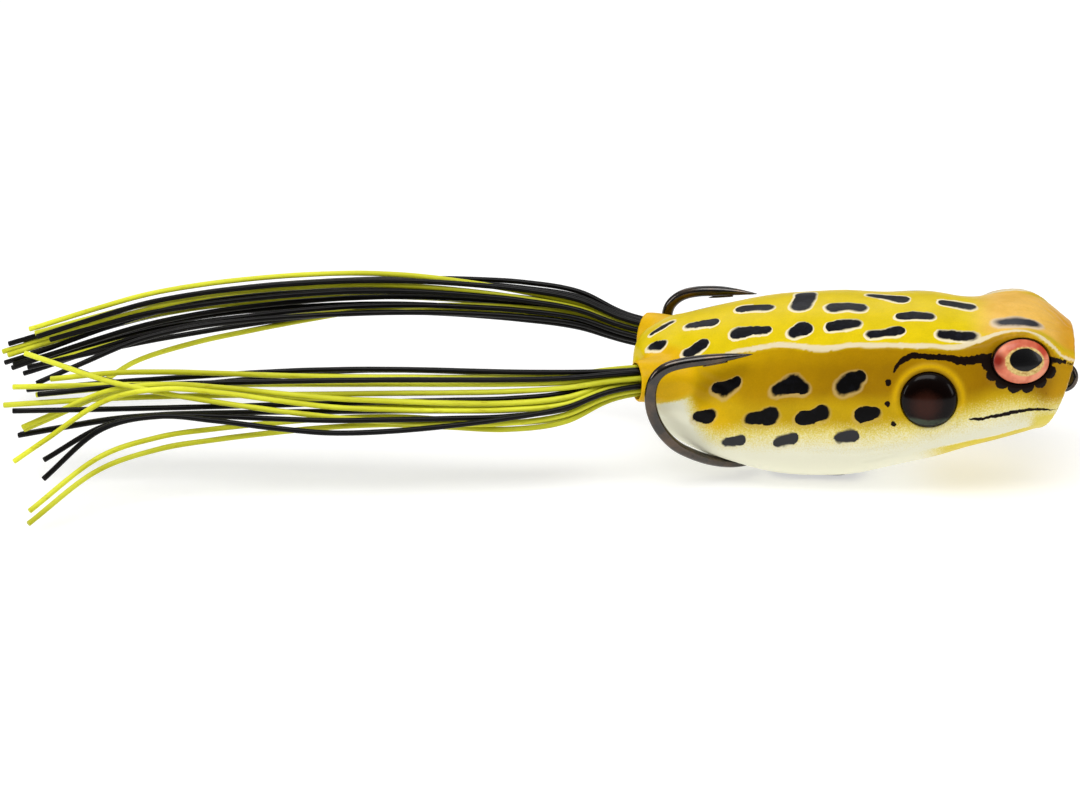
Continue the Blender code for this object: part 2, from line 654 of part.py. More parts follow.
def strand_guide(row, place, side):
    """A strand's smooth route from inside the socket to its tip, before it is spaced."""
    start, end, along = socket_axis(side)
    across = Vector((along.y, -along.x, 0)) * side
    offset = across * place[0] + Vector((0, 0, place[1]))
    points = [start - along * STRAND_BACK + offset, start + offset,
              start.lerp(end, 0.6) + offset, end + along * 1.5 + offset]
    points += [Vector((x, side * y, z)) for x, (y, z) in zip(STATION_X, row[1:-1])]
    points.append(mirrored(row[-1], side))
    return through(points, 1.0)


def spaced(guides, alive, free):
    """Pushes the (y, z) tracks apart, slice by slice, until the strands clear each other."""
    count = len(guides)
    pairs = alive[:, None] & alive[None] & ~np.eye(count, dtype=bool)[:, :, None]
    slopes = np.gradient(guides, SLICE, axis=1)
    slant = np.sqrt(1 + (slopes ** 2).sum(2))
    wanted = STRAND_SPACING * np.maximum(slant[:, None], slant[None])
    moved = np.zeros_like(guides)
    for turn in range(SPACING_TURNS):
        tracks = guides + moved
        tracks[:, :, 1] = np.maximum(tracks[:, :, 1], STRAND_FLOOR_Z)
        gaps = tracks[:, None] - tracks[None]
        apart = np.maximum(np.linalg.norm(gaps, axis=3), 1e-3)
        short = np.where(pairs, np.maximum(0, wanted - apart), 0)
        push = free[..., None] * (gaps * (0.3 * short / apart)[..., None]).sum(1)
        moved = tracks - guides + push
        if turn < SPACING_TURNS * 0.8:
            bend = moved[:, :-2] - 2 * moved[:, 1:-1] + moved[:, 2:]
            moved[:, 1:-1] += 0.2 * bend * free[:, 1:-1, None]
    return guides + moved


def sliced(guide, slices):
    """A route's (y, z) on each slice, carried straight on past its tip."""
    beyond = guide[-1] + (guide[-1] - guide[-3]) * 4
    route = np.vstack([guide, beyond])
    return np.column_stack([np.interp(-slices, -route[:, 0], route[:, k]) for k in (1, 2)])


def strand_lines(strands, side):
    """The spaced routes of one leg's strands, each a list of points ending at its tip."""
    places = packed(strands)
    guides = [np.array(strand_guide(row, places[i], side)) for i, row in enumerate(strands)]
    tips = np.array([g[-1, 0] for g in guides])
    slices = np.arange(min(g[0, 0] for g in guides), tips.min() - SLICE, -SLICE)
    tracks = np.array([sliced(g, slices) for g in guides])
    alive = slices[None] > tips[:, None] - SLICE
    free = np.repeat(slices[None] < SOCKET_END[0] - 1.0, len(guides), axis=0)
    lines = []
    for tip, track in zip(tips, spaced(tracks, alive, free)):
        xs = np.append(slices[slices > tip + 0.8], tip)
        rest = np.column_stack([np.interp(-xs, -slices, track[:, k]) for k in (0, 1)])
        lines.append([Vector((x, y, z)) for x, (y, z) in zip(xs, rest)])
    return lines


def thinned(line, straight, step):
    """Fewer points: only both ends of the straight start, then every step-th one."""
    kept = [line[0], line[straight], *line[straight + step:-1:step]]
    return [*kept, line[-1]]


def leg(side_name, strands, slots):
    side = SIDES[side_name]
    pivot = bpy.data.objects.new(f"{side_name}_leg_pivot", None)
    bpy.context.scene.collection.objects.link(pivot)
    pivot.location = mirrored(SOCKET_END, side) * MM
    bpy.context.view_layer.update()
    lines = strand_lines(strands, side)
    for number, (row, line) in enumerate(zip(strands, lines), start=1):
        line = thinned(line, STRAIGHT_SLICES, SLICES_PER_POINT)
        made = tube(f"{side_name}_strand_{number:02d}", line, [STRAND_RADIUS] * len(line),
                    STRAND_SIDES)
        made.data.materials.append(slots[row[0]])
        made.parent = pivot
        made.matrix_parent_inverse = pivot.matrix_world.inverted()


def main():
    clear_scene()
    slots = make_materials()
    body_shell(slots)
    double_hook(slots)
    belly_weight(slots)
    for name, side in SIDES.items():
        dome(f"eye_{name}", EYE_CENTRE, EYE_OUT, side, (EYE_HALF_LENGTH, EYE_HALF_HEIGHT),
             EYE_DOME, slots["eye"])
        dome(f"ear_dome_{name}", EAR_CENTRE, EAR_OUT, side, (EAR_RADIUS,) * 2, EAR_DOME,
             slots["ear"])
        collar(f"skirt_collar_{name}", side, slots["collar"])
    leg("right", RIGHT_STRANDS, slots)
    leg("left", LEFT_STRANDS, slots)


main()
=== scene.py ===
"""The look of the popping frog lure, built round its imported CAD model.

Lengths are millimetres, turned into metres where the meshes are made. X points to the nose,
Y to the frog's left, Z up. Paint on the soft body is placed by (x, girth): the place along the
body and the distance round its section from the middle of the back, positive on the right side.
"""

import json
import math

import bmesh
import bpy
import numpy as np
from mathutils import Matrix, Vector, noise

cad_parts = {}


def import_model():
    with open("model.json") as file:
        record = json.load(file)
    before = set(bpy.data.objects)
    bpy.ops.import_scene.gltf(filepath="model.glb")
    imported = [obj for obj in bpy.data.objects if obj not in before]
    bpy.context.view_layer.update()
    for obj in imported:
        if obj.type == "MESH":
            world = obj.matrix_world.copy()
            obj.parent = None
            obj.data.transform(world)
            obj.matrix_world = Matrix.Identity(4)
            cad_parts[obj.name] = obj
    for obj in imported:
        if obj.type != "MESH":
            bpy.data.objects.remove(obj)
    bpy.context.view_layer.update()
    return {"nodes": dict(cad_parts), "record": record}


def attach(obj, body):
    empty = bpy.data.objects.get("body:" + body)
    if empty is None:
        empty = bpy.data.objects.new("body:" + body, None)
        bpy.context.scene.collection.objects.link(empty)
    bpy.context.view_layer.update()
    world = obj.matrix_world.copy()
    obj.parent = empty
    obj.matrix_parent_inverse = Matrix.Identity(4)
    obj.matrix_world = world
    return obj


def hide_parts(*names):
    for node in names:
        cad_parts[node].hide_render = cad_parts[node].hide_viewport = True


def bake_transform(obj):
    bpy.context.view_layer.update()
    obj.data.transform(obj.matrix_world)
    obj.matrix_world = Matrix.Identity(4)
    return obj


MM = 0.001
SIDES = {"right": -1, "left": 1}

# The camera stands to the right of the lure, a little above and ahead of it.
CAMERA_AZIMUTH = 4.8
CAMERA_ELEVATION = 22.0
CAMERA_DISTANCE = 500.0
CAMERA_TARGET = (-40.5, 0.0, 8.1)
CAMERA_LENS = 115.83

# The floor gives out a little light of its own, as a lit white table does.
FLOOR_GLOW = 0.5
# Soft lights above, behind and at both ends: (name, place, target, size, watts).
LIGHTS = (
    ("key", (-60, -260, 520), (-20, 0, 12), (520, 300), 2.25),
    ("rear", (-120, 460, 420), (-20, 0, 12), (520, 240), 0.8),
    ("side", (420, -200, 160), (10, 0, 14), (120, 200), 0.26),
    ("left", (-420, -160, 150), (-24, -10, 12), (60, 200), 0.3),
)

# The body's outline along its length: (x, value). The sections between are smooth.
CREST_Z = ((-27.5, 20.8), (-24, 21.3), (-20, 22.1), (-15, 23.4), (-8, 24.9), (0, 25.7),
           (8, 25.8), (15, 26.0), (19, 25.5), (24, 25.3), (28, 25.1), (30.5, 24.5),
           (32.5, 23.5), (35, 21.9))
KEEL_Z = ((-27.5, 10.0), (-24, 7.6), (-20, 4.9), (-17, 3.4), (-13, 2.2), (-9, 1.2), (-5, 0.6),
          (0, 0.4), (4, 0.8), (8, 1.9), (12, 3.1), (16, 4.4), (20, 5.8), (24, 7.0), (29.5, 8.4))
RIDGE_Y = ((-27.5, 7.6), (-20, 8.6), (-15, 9.6), (-8, 10.3), (0, 10.6), (15, 10.6),
           (20, 10.0), (25, 9.2), (29, 8.6), (32.5, 7.7))
RIDGE_DROP = ((-27.5, 2.6), (-20, 3.0), (0, 3.1), (10, 3.2), (17, 2.9), (20, 2.7), (22, 2.1),
              (23.5, 1.35), (25, 0.9), (27, 0.65), (28.5, 0.75), (30, 1.0), (32.5, 1.4))
WIDE_Y = ((-27.5, 10.2), (-20, 11.0), (-15, 11.9), (-8, 12.7), (0, 13.0), (15, 12.9),
          (20, 12.5), (25, 11.8), (29, 10.6), (32.5, 9.3))
WIDE_Z = ((-27.5, 14.0), (-20, 12.0), (-15, 10.8), (-8, 10.0), (0, 9.8), (8, 10.2),
          (15, 11.0), (20, 12.0), (25, 13.0), (32.5, 14.3))
BELLY_SQUARENESS = 2.25
# How much of a section's points lie on the back and on the flank. The rest are the belly's.
SECTION_SHARES = (0.28, 0.32)
RUMP_X = -27.1
RUMP_START_X = -19.0
RUMP_Z = 15.8
RUMP_SQUARENESS = 2.6
WALL = 1.6
CAVITY_X = (-25.2, 26.0)
CORE_Z = 13.5
RIM_X = 32.0
RIM_Z = 14.2
RIM_LEAN = 0.37
RIM_BULGE = 0.5
RIM_HALF_HEIGHT = 6.5
LEAN_START_X = 17.0
CUP_ROWS = ((0.985, 0.33), (0.965, 0.42), (0.94, 0.44), (0.915, 0.38), (0.89, 0.2), (0.865, -0.1),
            (0.84, -0.55), (0.815, -1.1), (0.78, -1.9), (0.74, -2.6), (0.68, -3.3), (0.60, -3.85),
            (0.50, -4.2), (0.38, -4.45), (0.25, -4.6), (0.12, -4.68))
CUP_DEPTH = 4.7
CUP_EDGE_SCALE = 0.95

# Openings and sockets of the body.
SOCKET_START = (-17.0, 6.2, 15.8)
SOCKET_END = (-26.2, 9.7, 16.1)
# (share of the socket's length, radius), then the lip: (distance from the end, how much less).
SOCKET_RADIUS = ((0, 4.2), (0.45, 3.35), (1, 3.05))
SOCKET_LIP = ((0.45, 0.0), (0.2, 0.06), (0.05, 0.2), (0.0, 0.35))
BORE_RADIUS = 2.5
EYE_CENTRE = (27.1, 10.05, 20.95)
EYE_OUT = (0.26, 0.93, 0.27)
EYE_HALF = (4.1, 3.15)
EYE_DOME = 1.3
EAR_CENTRE = (14.6, 12.45, 15.75)
EAR_OUT = (0.04, 0.98, 0.16)
EAR_HALF = (3.87, 3.87)
EAR_DOME = 1.25
INSET_DEPTH = 0.6
INSET_REACH = 4.0
DOME_SINK = 0.02
DOME_SIDES = 96
POCKET_GAP = 0.12
POCKET_DEPTH = 0.85
POCKET_SIDES = 72
NOSE_HOLE_RADIUS = 1.08
NOSE_HOLE_WIDENING = 1.85
SLOT_X = -0.6
SLOT_HALF = (6.75, 4.85)
SLOT_CORNER = 2.55

# What the mould and the assembly leave on the skin: heights, and how wide each one is.
LIP_WIDTH = 0.5
EAR_LIP_HEIGHT = 0.26
EAR_LIP_RADIUS = 4.65
EYE_LIP_HEIGHT = 0.22
EYE_LIP_OUTSET = 0.75
EYE_MEAN_HALF = 3.7
FOLD_HEIGHT = 0.16
FOLD_RADIUS = 5.6
FOLD_REACH = 1.9
SEAM_HEIGHT = 0.1
SEAM_WIDTH = 0.28
SEAM_START_X = 9.0
KEEL_SEAM_HEIGHT = 0.09
KEEL_SEAM_WIDTH = 0.2
CREASE_DEPTH = 0.12
CREASE_WIDTH = 0.25
SWELL_HEIGHT = 0.13
SWELL_PER_MM = 0.16

# The double hook: one side's centre line from the point to the nose (x, y outwards, z), then
# the line-tie loop that joins the two sides.
WIRE_RADIUS = 0.75
SHANK_HALF_GAP = 0.88
HOOK_ROUTE = ((-9.9, 11.9, 21.5), (-12.5, 12.3, 21.25), (-15.5, 12.8, 20.95), (-19.3, 13.4, 20.5),
              (-21.8, 13.75, 19.75), (-23.3, 13.9, 18.3), (-23.9, 13.9, 16.2),
              (-23.8, 13.9, 13.9), (-23.1, 13.8, 11.7), (-21.9, 13.2, 9.5), (-20.3, 12.2, 7.5),
              (-18.3, 10.7, 5.8), (-15.9, 8.6, 4.1), (-13.4, 6.3, 2.8), (-11.2, 4.4, 2.2),
              (-9.2, 2.6, 2.2), (-7.0, 1.3, 2.65), (-4.0, 0.92, 3.05), (4.0, SHANK_HALF_GAP, 3.9),
              (12.0, SHANK_HALF_GAP, 7.0), (20.0, SHANK_HALF_GAP, 10.35),
              (28.0, SHANK_HALF_GAP, 13.7))
# The left bend is sprung up and open a little against the right one.
LEFT_BEND = ((-9.9, 11.9, 21.7), (-12.5, 12.3, 21.75), (-15.3, 12.8, 21.65), (-18.6, 13.4, 21.25),
             (-21.0, 13.75, 20.4), (-22.6, 13.9, 18.8), (-23.1, 13.9, 16.6), (-23.1, 13.9, 14.1),
             (-22.7, 13.8, 11.8), (-21.8, 13.2, 9.5))
LOOP_CENTRE = (33.85, 14.9)
LOOP_RADIUS = 1.45
LOOP_WIRE_RADIUS = 0.62
LOOP_OPEN_DEG = 125
LOOP_SHEAR = 0.75
LOOP_STEPS = 48
LOOP_THINNING_X = (28.5, 32.5)
POINT_LENGTH = 6.1
POINT_TAPER = ((0, 0.03), (0.1, 0.16), (0.45, 0.46), (0.8, 0.68))
FORGED_PLACE = (-22.0, 13.0)
FORGED_REACH = 9.0
BARB_ROOT_X = -13.4
BARB_LENGTH = 3.6
BARB_LIFT = (0.30, 0.713)
CHANNEL_RADIUS = 1.15
CHANNEL_X = (-17.0, -3.5)
HOOK_MID_Z = 14.0

# Fineness of the finished surfaces.
SKIN_VOXEL = 0.34
WIRE_STEP = 0.35
STRAND_STEP = 0.7

# The rubber strands, and two distances from a socket's mouth for the start and end of a leg's bend;
# leg() works out their places but uses them for nothing.
STRANDS = 18
STRAND_RADIUS = 0.385
STRAND_SIDES = 14
BEND_START = -2.5
BEND_END = 9.0

# Dark spots of the paint, each a chain of (x, girth, radius). The first table's spots lie on and
# beside the middle of the back; the spots of the other two are on both sides.
BACK_SPOTS = (
    ((-24.3, 1.6, 0.45), (-23.0, 1.0, 0.65), (-21.7, 0.2, 0.45)),
    ((-24.2, 4.6, 0.72), (-22.9, 5.3, 0.8)),
    ((-11.6, 0.9, 1.15), (-9.8, 1.3, 0.95), (-8.1, 1.9, 0.95)),
    ((-2.8, -2.5, 1.5), (-3.0, 0.2, 1.55), (-3.5, 2.3, 1.5)),
    ((1.2, 3.0, 1.3), (3.1, 2.5, 1.05), (4.8, 2.9, 1.1)),
    ((6.5, -1.8, 0.9), (8.4, -0.9, 0.95), (10.5, 0.2, 1.3)),
    ((16.6, 0.6, 0.95), (18.3, 0.5, 1.0), (19.8, 0.8, 1.1)),
    ((24.1, 5.3, 1.1), (25.6, 5.15, 1.35), (27.0, 5.15, 1.2)),
)
BACK_SPOT_PAIRS = (
    ((-18.9, 8.4, 0.92), (-17.2, 7.5, 1.05)),
    ((-19.0, 2.8, 0.75), (-17.3, 3.0, 0.85), (-15.8, 3.3, 0.95)),
    ((-12.0, 6.9, 1.25), (-10.0, 7.0, 0.9), (-8.3, 7.3, 0.85)),
    ((-4.1, 8.4, 1.1), (-3.1, 7.8, 1.4)),
    ((1.0, 7.5, 1.0), (2.6, 7.0, 1.1), (4.2, 6.7, 0.9)),
    ((6.4, 9.0, 0.8), (8.4, 8.6, 0.8), (10.1, 8.2, 0.98)),
    ((10.5, 5.1, 0.85), (12.2, 4.9, 1.05), (14.4, 5.1, 0.88)),
    ((16.2, 8.7, 0.85), (18.2, 8.4, 0.98), (20.0, 8.2, 0.98)),
)
FLANK_SPOT_PAIRS = (
    ((-14.9, 14.7, 0.7), (-13.6, 15.25, 1.1), (-12.2, 14.7, 0.82)),
    ((-6.4, 16.8, 0.9), (-4.2, 16.3, 1.4), (-2.8, 17.0, 0.9)),
    ((2.8, 16.9, 1.2), (3.9, 16.2, 1.45), (4.9, 15.5, 0.95)),
    ((-17.5, 18.0, 0.7), (-15.9, 18.6, 1.1)),
    ((-10.0, 20.3, 0.9), (-8.6, 20.5, 1.05), (-7.3, 20.5, 1.35)),
    ((-2.8, 21.3, 1.05), (-1.4, 21.2, 0.98), (-0.2, 20.6, 1.18)),
    ((5.5, 20.8, 1.18), (7.2, 20.5, 0.85)),
    ((-13.2, 23.4, 0.82), (-11.5, 23.4, 0.92)),
    ((-6.0, 24.6, 0.8), (-4.2, 24.2, 0.98)),
    ((2.4, 24.3, 0.78), (4.2, 23.9, 1.02)),
)
# The left side's paint sits lower than a mirrored one: near the back, and further down.
LEFT_PAINT_DROP = (2.0, 0.5)
HALO_OFFSET = 0.2
# How strong the spots' pale halos are: (girth, share).
HALO_SHARE = ((12, 0.9), (13.5, 0.62), (18, 0.55), (19.5, 0.3), (22, 0.25), (23, 0.1))
# Painted lines that run along the body: (x, girth) of the middle and (x, half width).
CREAM_LINE = ((-15, 10.6), (-12.7, 10.3), (-9.5, 10.5), (-6.1, 10.5), (-3.9, 10.9), (-0.8, 11.5),
              (1.9, 11.3), (4.3, 10.9), (6.5, 11.0), (9.2, 10.9), (11.9, 11.1), (15.5, 11.0),
              (18.3, 10.5), (20.3, 9.5), (22.6, 8.6), (25.1, 8.25), (26.8, 8.35), (28.1, 8.7),
              (29.4, 8.9), (30.7, 9.0), (31.9, 8.3))
CREAM_HALF = ((-15, 0.1), (-12, 0.36), (-6, 0.42), (0, 0.44), (15, 0.42), (21, 0.48), (25, 0.42),
              (28, 0.26), (30.5, 0.2), (32, 0.14))
MOUTH_LINE = ((20, 20.5), (22.4, 20.5), (23.9, 20.45), (25.7, 20.15), (28.0, 19.1), (30.2, 17.2),
              (32.0, 15.3))
MOUTH_HALF = ((20, 0.0), (20.8, 0.16), (23, 0.22), (25, 0.28), (27, 0.27), (29, 0.22),
              (31.0, 0.16), (31.8, 0.02))
# The black lines ahead of and behind the eye, and the dots, are chains like the spots.
BLACK_LINES = (
    ((9.6, 14.9, 0.1), (10.0, 14.0, 0.26), (10.7, 13.2, 0.4), (12.3, 12.5, 0.46),
     (14.6, 12.7, 0.34), (16.6, 12.4, 0.42), (18.2, 12.45, 0.54), (19.8, 12.3, 0.6),
     (21.3, 11.95, 0.6), (23.0, 11.9, 0.5)),
    ((29.2, 11.0, 0.36), (30.5, 9.95, 0.26), (32.1, 8.65, 0.14)),
)
DOTS = (
    ((8.9, 16.1, 0.42), (8.95, 16.3, 0.4)),
    ((8.9, 19.2, 0.4), (8.95, 19.35, 0.38)),
    ((9.8, 22.1, 0.36), (9.9, 22.2, 0.36)),
    ((29.9, 15.0, 0.12), (29.95, 15.0, 0.12)),
)
# Faint folds of the vinyl: along the lower belly and across the corner of the upper lip.
CREASES = (
    ((-1.5, 26.4, 0.0), (5.0, 26.7, 0.05), (12.0, 25.3, 0.0)),
    ((6.0, 28.4, 0.0), (12.0, 27.0, 0.05), (17.0, 25.0, 0.0)),
    ((27.5, 3.4, 0.0), (29.6, 1.6, 0.05), (31.4, -3.0, 0.0)),
    ((28.6, 5.2, 0.0), (30.4, 3.2, 0.05), (31.6, 0.5, 0.0)),
)
EYE_LOBE_ANGLES = (187, 212, 236, 260, 284, 309, 336)
EYE_LOBE_RADIUS = 0.95
EYE_LOBE_OUTSET = 0.42
EYE_BAND_HALF = 0.3
HEAD_START_X = 21.5
LIP_START_X = 30.2

# Where the airbrushed flank turns ivory, and where the jaw's underside turns yellow again.
IVORY_GIRTH = ((-27.5, 11.4), (-23, 12.0), (-20.8, 12.2), (-19.6, 13.4), (-18.4, 16.6),
               (-16.5, 20.6), (-11, 23.0), (-5, 23.9), (3, 24.2), (10, 23.8), (15, 23.0),
               (20, 20.6), (25, 19.9), (30, 18.0), (33, 14.0))
UNDER_GIRTH = ((3, 32), (7.6, 28.6), (11, 27.3), (14.6, 26.0), (18, 24.8), (21, 23.9), (24.1, 23.8),
               (27, 22.9), (29.8, 20.6), (31.4, 19.0), (33, 16.6))

# Stored distances: beyond all paint, where no line is drawn, and where no ivory is sprayed.
FAR = 99.0
NO_PAINT = 9.0
NO_LINE = -0.4
NO_IVORY = -6.0


def linear(red, green, blue):
    """A colour given as 0 to 255 screen values, in the linear values that shaders use."""
    return tuple(v / 12.92 if v <= 0.04045 else ((v + 0.055) / 1.055) ** 2.4
                 for v in (red / 255, green / 255, blue / 255))


BACK_YELLOW = linear(223, 196, 2)
HEAD_PEACH = linear(238, 188, 86)
NOSE_GOLD = linear(220, 158, 32)
OLIVE_YELLOW = linear(206, 176, 8)
# The upper and middle flank colours are partly the paint's own mustard and partly painted shade,
# darker where the flank turns away from the light above.
UPPER_REAR_PAINT_AND_SHADE = linear(199, 158, 3)
UPPER_FRONT_PAINT_AND_SHADE = linear(166, 124, 0)
MIDDLE_REAR_PAINT_AND_SHADE = linear(180, 138, 2)
MIDDLE_FRONT_PAINT_AND_SHADE = linear(153, 112, 0)
REAR_GOLD = linear(232, 186, 6)
# The cheek's gold is partly the paint's own colour and partly painted shade on the side of the head.
CHEEK_PAINT_AND_SHADE = linear(142, 100, 0)
LOWER_FLANK = linear(190, 154, 6)
PALE_YELLOW = linear(226, 206, 78)
IVORY = linear(236, 234, 210)
JAW_YELLOW = linear(222, 200, 62)
CORNER_GOLD = linear(196, 148, 12)
LIP_YELLOW = linear(224, 206, 92)
CUP_CREAM = linear(238, 214, 120)
BARE_VINYL = linear(236, 226, 186)
SOCKET_GOLD = linear(226, 178, 10)


# ---------------------------------------------------------------- shapes of the soft body

def smooth(table, x):
    """The value at x of the smooth curve through the table's (x, value) points; x may be an array."""
    xs, values = np.array(table, float).T
    slopes = np.gradient(values, xs)
    x = np.clip(x, xs[0], xs[-1])
    i = np.clip(np.searchsorted(xs, x, side="right") - 1, 0, len(xs) - 2)
    step = xs[i + 1] - xs[i]
    t = (x - xs[i]) / step
    ends = values[i] * (1 + 2 * t) * (1 - t) ** 2 + values[i + 1] * t * t * (3 - 2 * t)
    return ends + step * (slopes[i] * t * (1 - t) ** 2 - slopes[i + 1] * t * t * (1 - t))


def through(points, spacing):
    """A polyline along the Catmull-Rom curve through the points, its steps about spacing long."""
    pts = [Vector(p) for p in points]
    pts = [2 * pts[0] - pts[1], *pts, 2 * pts[-1] - pts[-2]]
    line = []
    for a, b, c, d in zip(pts, pts[1:], pts[2:], pts[3:]):
        count = max(1, round((c - b).length / spacing))
        for k in range(count):
            t = k / count
            bend = (2 * a - 5 * b + 4 * c - d) * t * t + (3 * b - a - 3 * c + d) * t ** 3
            line.append((2 * b + (c - a) * t + bend) / 2)
    line.append(pts[-2])
    return line


def rump_scale(x):
    """How much of its full size a section keeps as the rump rounds off."""
    t = max(0.0, (RUMP_START_X - x) / (RUMP_START_X - RUMP_X))
    return max(0.0, 1 - t ** RUMP_SQUARENESS) ** (1 / RUMP_SQUARENESS)


def leaned(x, z):
    """The x of a point at height z on the section at x: near the mouth the sections lean."""
    lean = np.clip((x - LEAN_START_X) / (RIM_X - LEAN_START_X), 0, 1) ** 2
    h = (z - RIM_Z) / RIM_HALF_HEIGHT
    return x + lean * (RIM_LEAN * (z - RIM_Z) + RIM_BULGE * (1 - h * h))


def section_of(x, z):
    """The x of the section that a surface point at (x, z) lies on."""
    at = np.array(x, float)
    for _ in range(25):
        at = at - 0.6 * (leaned(at, z) - x)
    return at


def section_heights(x):
    """Crest and keel heights of the section at x, read where its leaned ends really are."""
    crest = smooth(CREST_Z, x)
    keel = smooth(KEEL_Z, x)
    for _ in range(4):
        crest = smooth(CREST_Z, leaned(x, crest))
        keel = smooth(KEEL_Z, leaned(x, keel))
    return crest, keel


def half_section(x, count, inset=0.0):
    """(y, z) from crest to keel down one side of the body, count + 1 points."""
    crest, keel = section_heights(x)
    ridge_y = smooth(RIDGE_Y, x)
    ridge_z = crest - smooth(RIDGE_DROP, x)
    wide_y = smooth(WIDE_Y, x)
    wide_z = smooth(WIDE_Z, x)
    back, flank = (round(count * share) for share in SECTION_SHARES)
    k = np.arange(back) / back
    outline = [np.column_stack([ridge_y * k, crest - (crest - ridge_z) * k ** 2])]
    u = np.arange(flank) / flank
    y = ridge_y + (wide_y - ridge_y) * np.sin(u * math.pi / 2)
    outline.append(np.column_stack([y, ridge_z + (wide_z - ridge_z) * u]))
    belly = count - back - flank
    angle = np.arange(belly + 1) / belly * math.pi / 2
    power = 2 / BELLY_SQUARENESS
    across = np.maximum(0, np.cos(angle)) ** power
    down = np.sin(angle) ** power
    outline.append(np.column_stack([wide_y * across, wide_z - (wide_z - keel) * down]))
    scale = rump_scale(x)
    points = np.vstack(outline)
    points = np.column_stack([points[:, 0] * scale, RUMP_Z + (points[:, 1] - RUMP_Z) * scale])
    if inset:
        along = np.gradient(points, axis=0)
        along /= np.linalg.norm(along, axis=1)[:, None]
        along[0], along[-1] = (1, 0), (-1, 0)
        points += inset * np.column_stack([along[:, 1], -along[:, 0]])
        points[:, 0] = np.maximum(points[:, 0], 0)
    return points


def whole(half):
    """A half section and its mirror image: down the left side and back up the right."""
    return np.vstack([half, half[-2:0:-1] * (-1, 1)])


def ring_at(x, columns):
    """The whole section at x as 3-D points."""
    return [Vector((leaned(x, z), y, z)) for y, z in whole(half_section(x, columns // 2))]


def by_section(points, section, per_mm, count):
    """The points in thin slices. For each slice: the points' indices, their places across the
    body, the half section there, and every point's distances from all of that section's points."""
    slices = np.round(np.clip(section, RUMP_X + 0.1, RIM_X) * per_mm) / per_mm
    for x in np.unique(slices):
        here = np.flatnonzero(slices == x)
        half = half_section(max(x, RUMP_X + 0.1), count)
        place = np.column_stack([np.abs(points[here, 1]), points[here, 2]])
        yield here, place, half, np.linalg.norm(place[:, None] - half[None], axis=2)


def girth_of(points):
    """(section x, girth) of points on or near the skin, girth positive on the right side."""
    section = section_of(points[:, 0], points[:, 2])
    girth = np.zeros(len(points))
    for here, _, half, gaps in by_section(points, section, 4, 200):
        round_to = np.r_[0, np.cumsum(np.linalg.norm(np.diff(half, axis=0), axis=1))]
        girth[here] = round_to[gaps.argmin(1)]
    return section, np.where(points[:, 1] > 0, -girth, girth)


# ---------------------------------------------------------------- mesh helpers

def turn(count):
    """Equal angles round a full turn, in radians."""
    return [2 * math.pi * k / count for k in range(count)]


def link(name, data):
    obj = bpy.data.objects.new(name, data)
    bpy.context.scene.collection.objects.link(obj)
    return obj


def finish_mesh(name, mesh, flat=False):
    """Makes a scene object of a bmesh, its faces turned outwards."""
    bmesh.ops.recalc_face_normals(mesh, faces=mesh.faces)
    data = bpy.data.meshes.new(name)
    mesh.to_mesh(data)
    mesh.free()
    if not flat:
        data.shade_smooth()
    return link(name, data)


def loft(name, rings, start=None, end=None):
    """A closed mesh through equal rings. Each end is a point, or flat where no point is given."""
    mesh = bmesh.new()
    rows = [[mesh.verts.new(Vector(p) * MM) for p in ring] for ring in rings]
    for near, far in zip(rows, rows[1:]):
        for k in range(len(near)):
            n = (k + 1) % len(near)
            mesh.faces.new((near[k], near[n], far[n], far[k]))
    for row, tip in ((rows[0], start), (rows[-1], end)):
        if tip is None:
            mesh.faces.new(row)
            continue
        pole = mesh.verts.new(Vector(tip) * MM)
        for k in range(len(row)):
            mesh.faces.new((row[k], row[(k + 1) % len(row)], pole))
    return finish_mesh(name, mesh)


def tube(name, line, radii, sides, shape=None):
    """A closed tube along a polyline. shape(i, out) may change its radius at point i towards out."""
    across = None
    rings = []
    for i, point in enumerate(line):
        ahead = (line[min(i + 1, len(line) - 1)] - line[max(i - 1, 0)]).normalized()
        if across is None:
            across = ahead.orthogonal().normalized()
        across = (across - across.dot(ahead) * ahead).normalized()
        other = ahead.cross(across)
        ring = []
        for a in turn(sides):
            out = across * math.cos(a) + other * math.sin(a)
            ring.append(point + radii[i] * (shape(i, out) if shape else 1.0) * out)
        rings.append(ring)
    return loft(name, rings, line[0], line[-1])


def applied(obj):
    """Applies an object's modifiers to its mesh."""
    graph = bpy.context.evaluated_depsgraph_get()
    data = bpy.data.meshes.new_from_object(obj.evaluated_get(graph))
    obj.modifiers.clear()
    obj.data = data
    return obj


def cut(obj, cutters):
    """Cuts every cutter out of obj and deletes them."""
    held = bpy.data.collections.new("cutters")
    for cutter in cutters:
        bpy.context.scene.collection.objects.unlink(cutter)
        held.objects.link(cutter)
    bpy.context.scene.collection.children.link(held)
    modifier = obj.modifiers.new("cut", "BOOLEAN")
    modifier.operation = "DIFFERENCE"
    modifier.operand_type = "COLLECTION"
    modifier.solver = "EXACT"
    modifier.collection = held
    applied(obj)
    for cutter in cutters:
        bpy.data.objects.remove(cutter, do_unlink=True)
    bpy.data.collections.remove(held)
    return obj


def vertex_array(obj):
    """The mesh's points in millimetres."""
    points = np.empty(len(obj.data.vertices) * 3, np.float32)
    obj.data.vertices.foreach_get("co", points)
    return points.reshape(-1, 3).astype(float) / MM


def set_vertices(obj, points):
    """Moves the mesh's points to places in millimetres."""
    obj.data.vertices.foreach_set("co", (points * MM).astype(np.float32).ravel())
    obj.data.update()


def normals_of(obj):
    normals = np.empty(len(obj.data.vertices) * 3, np.float32)
    obj.data.vertices.foreach_get("normal", normals)
    return normals.reshape(-1, 3).astype(float)


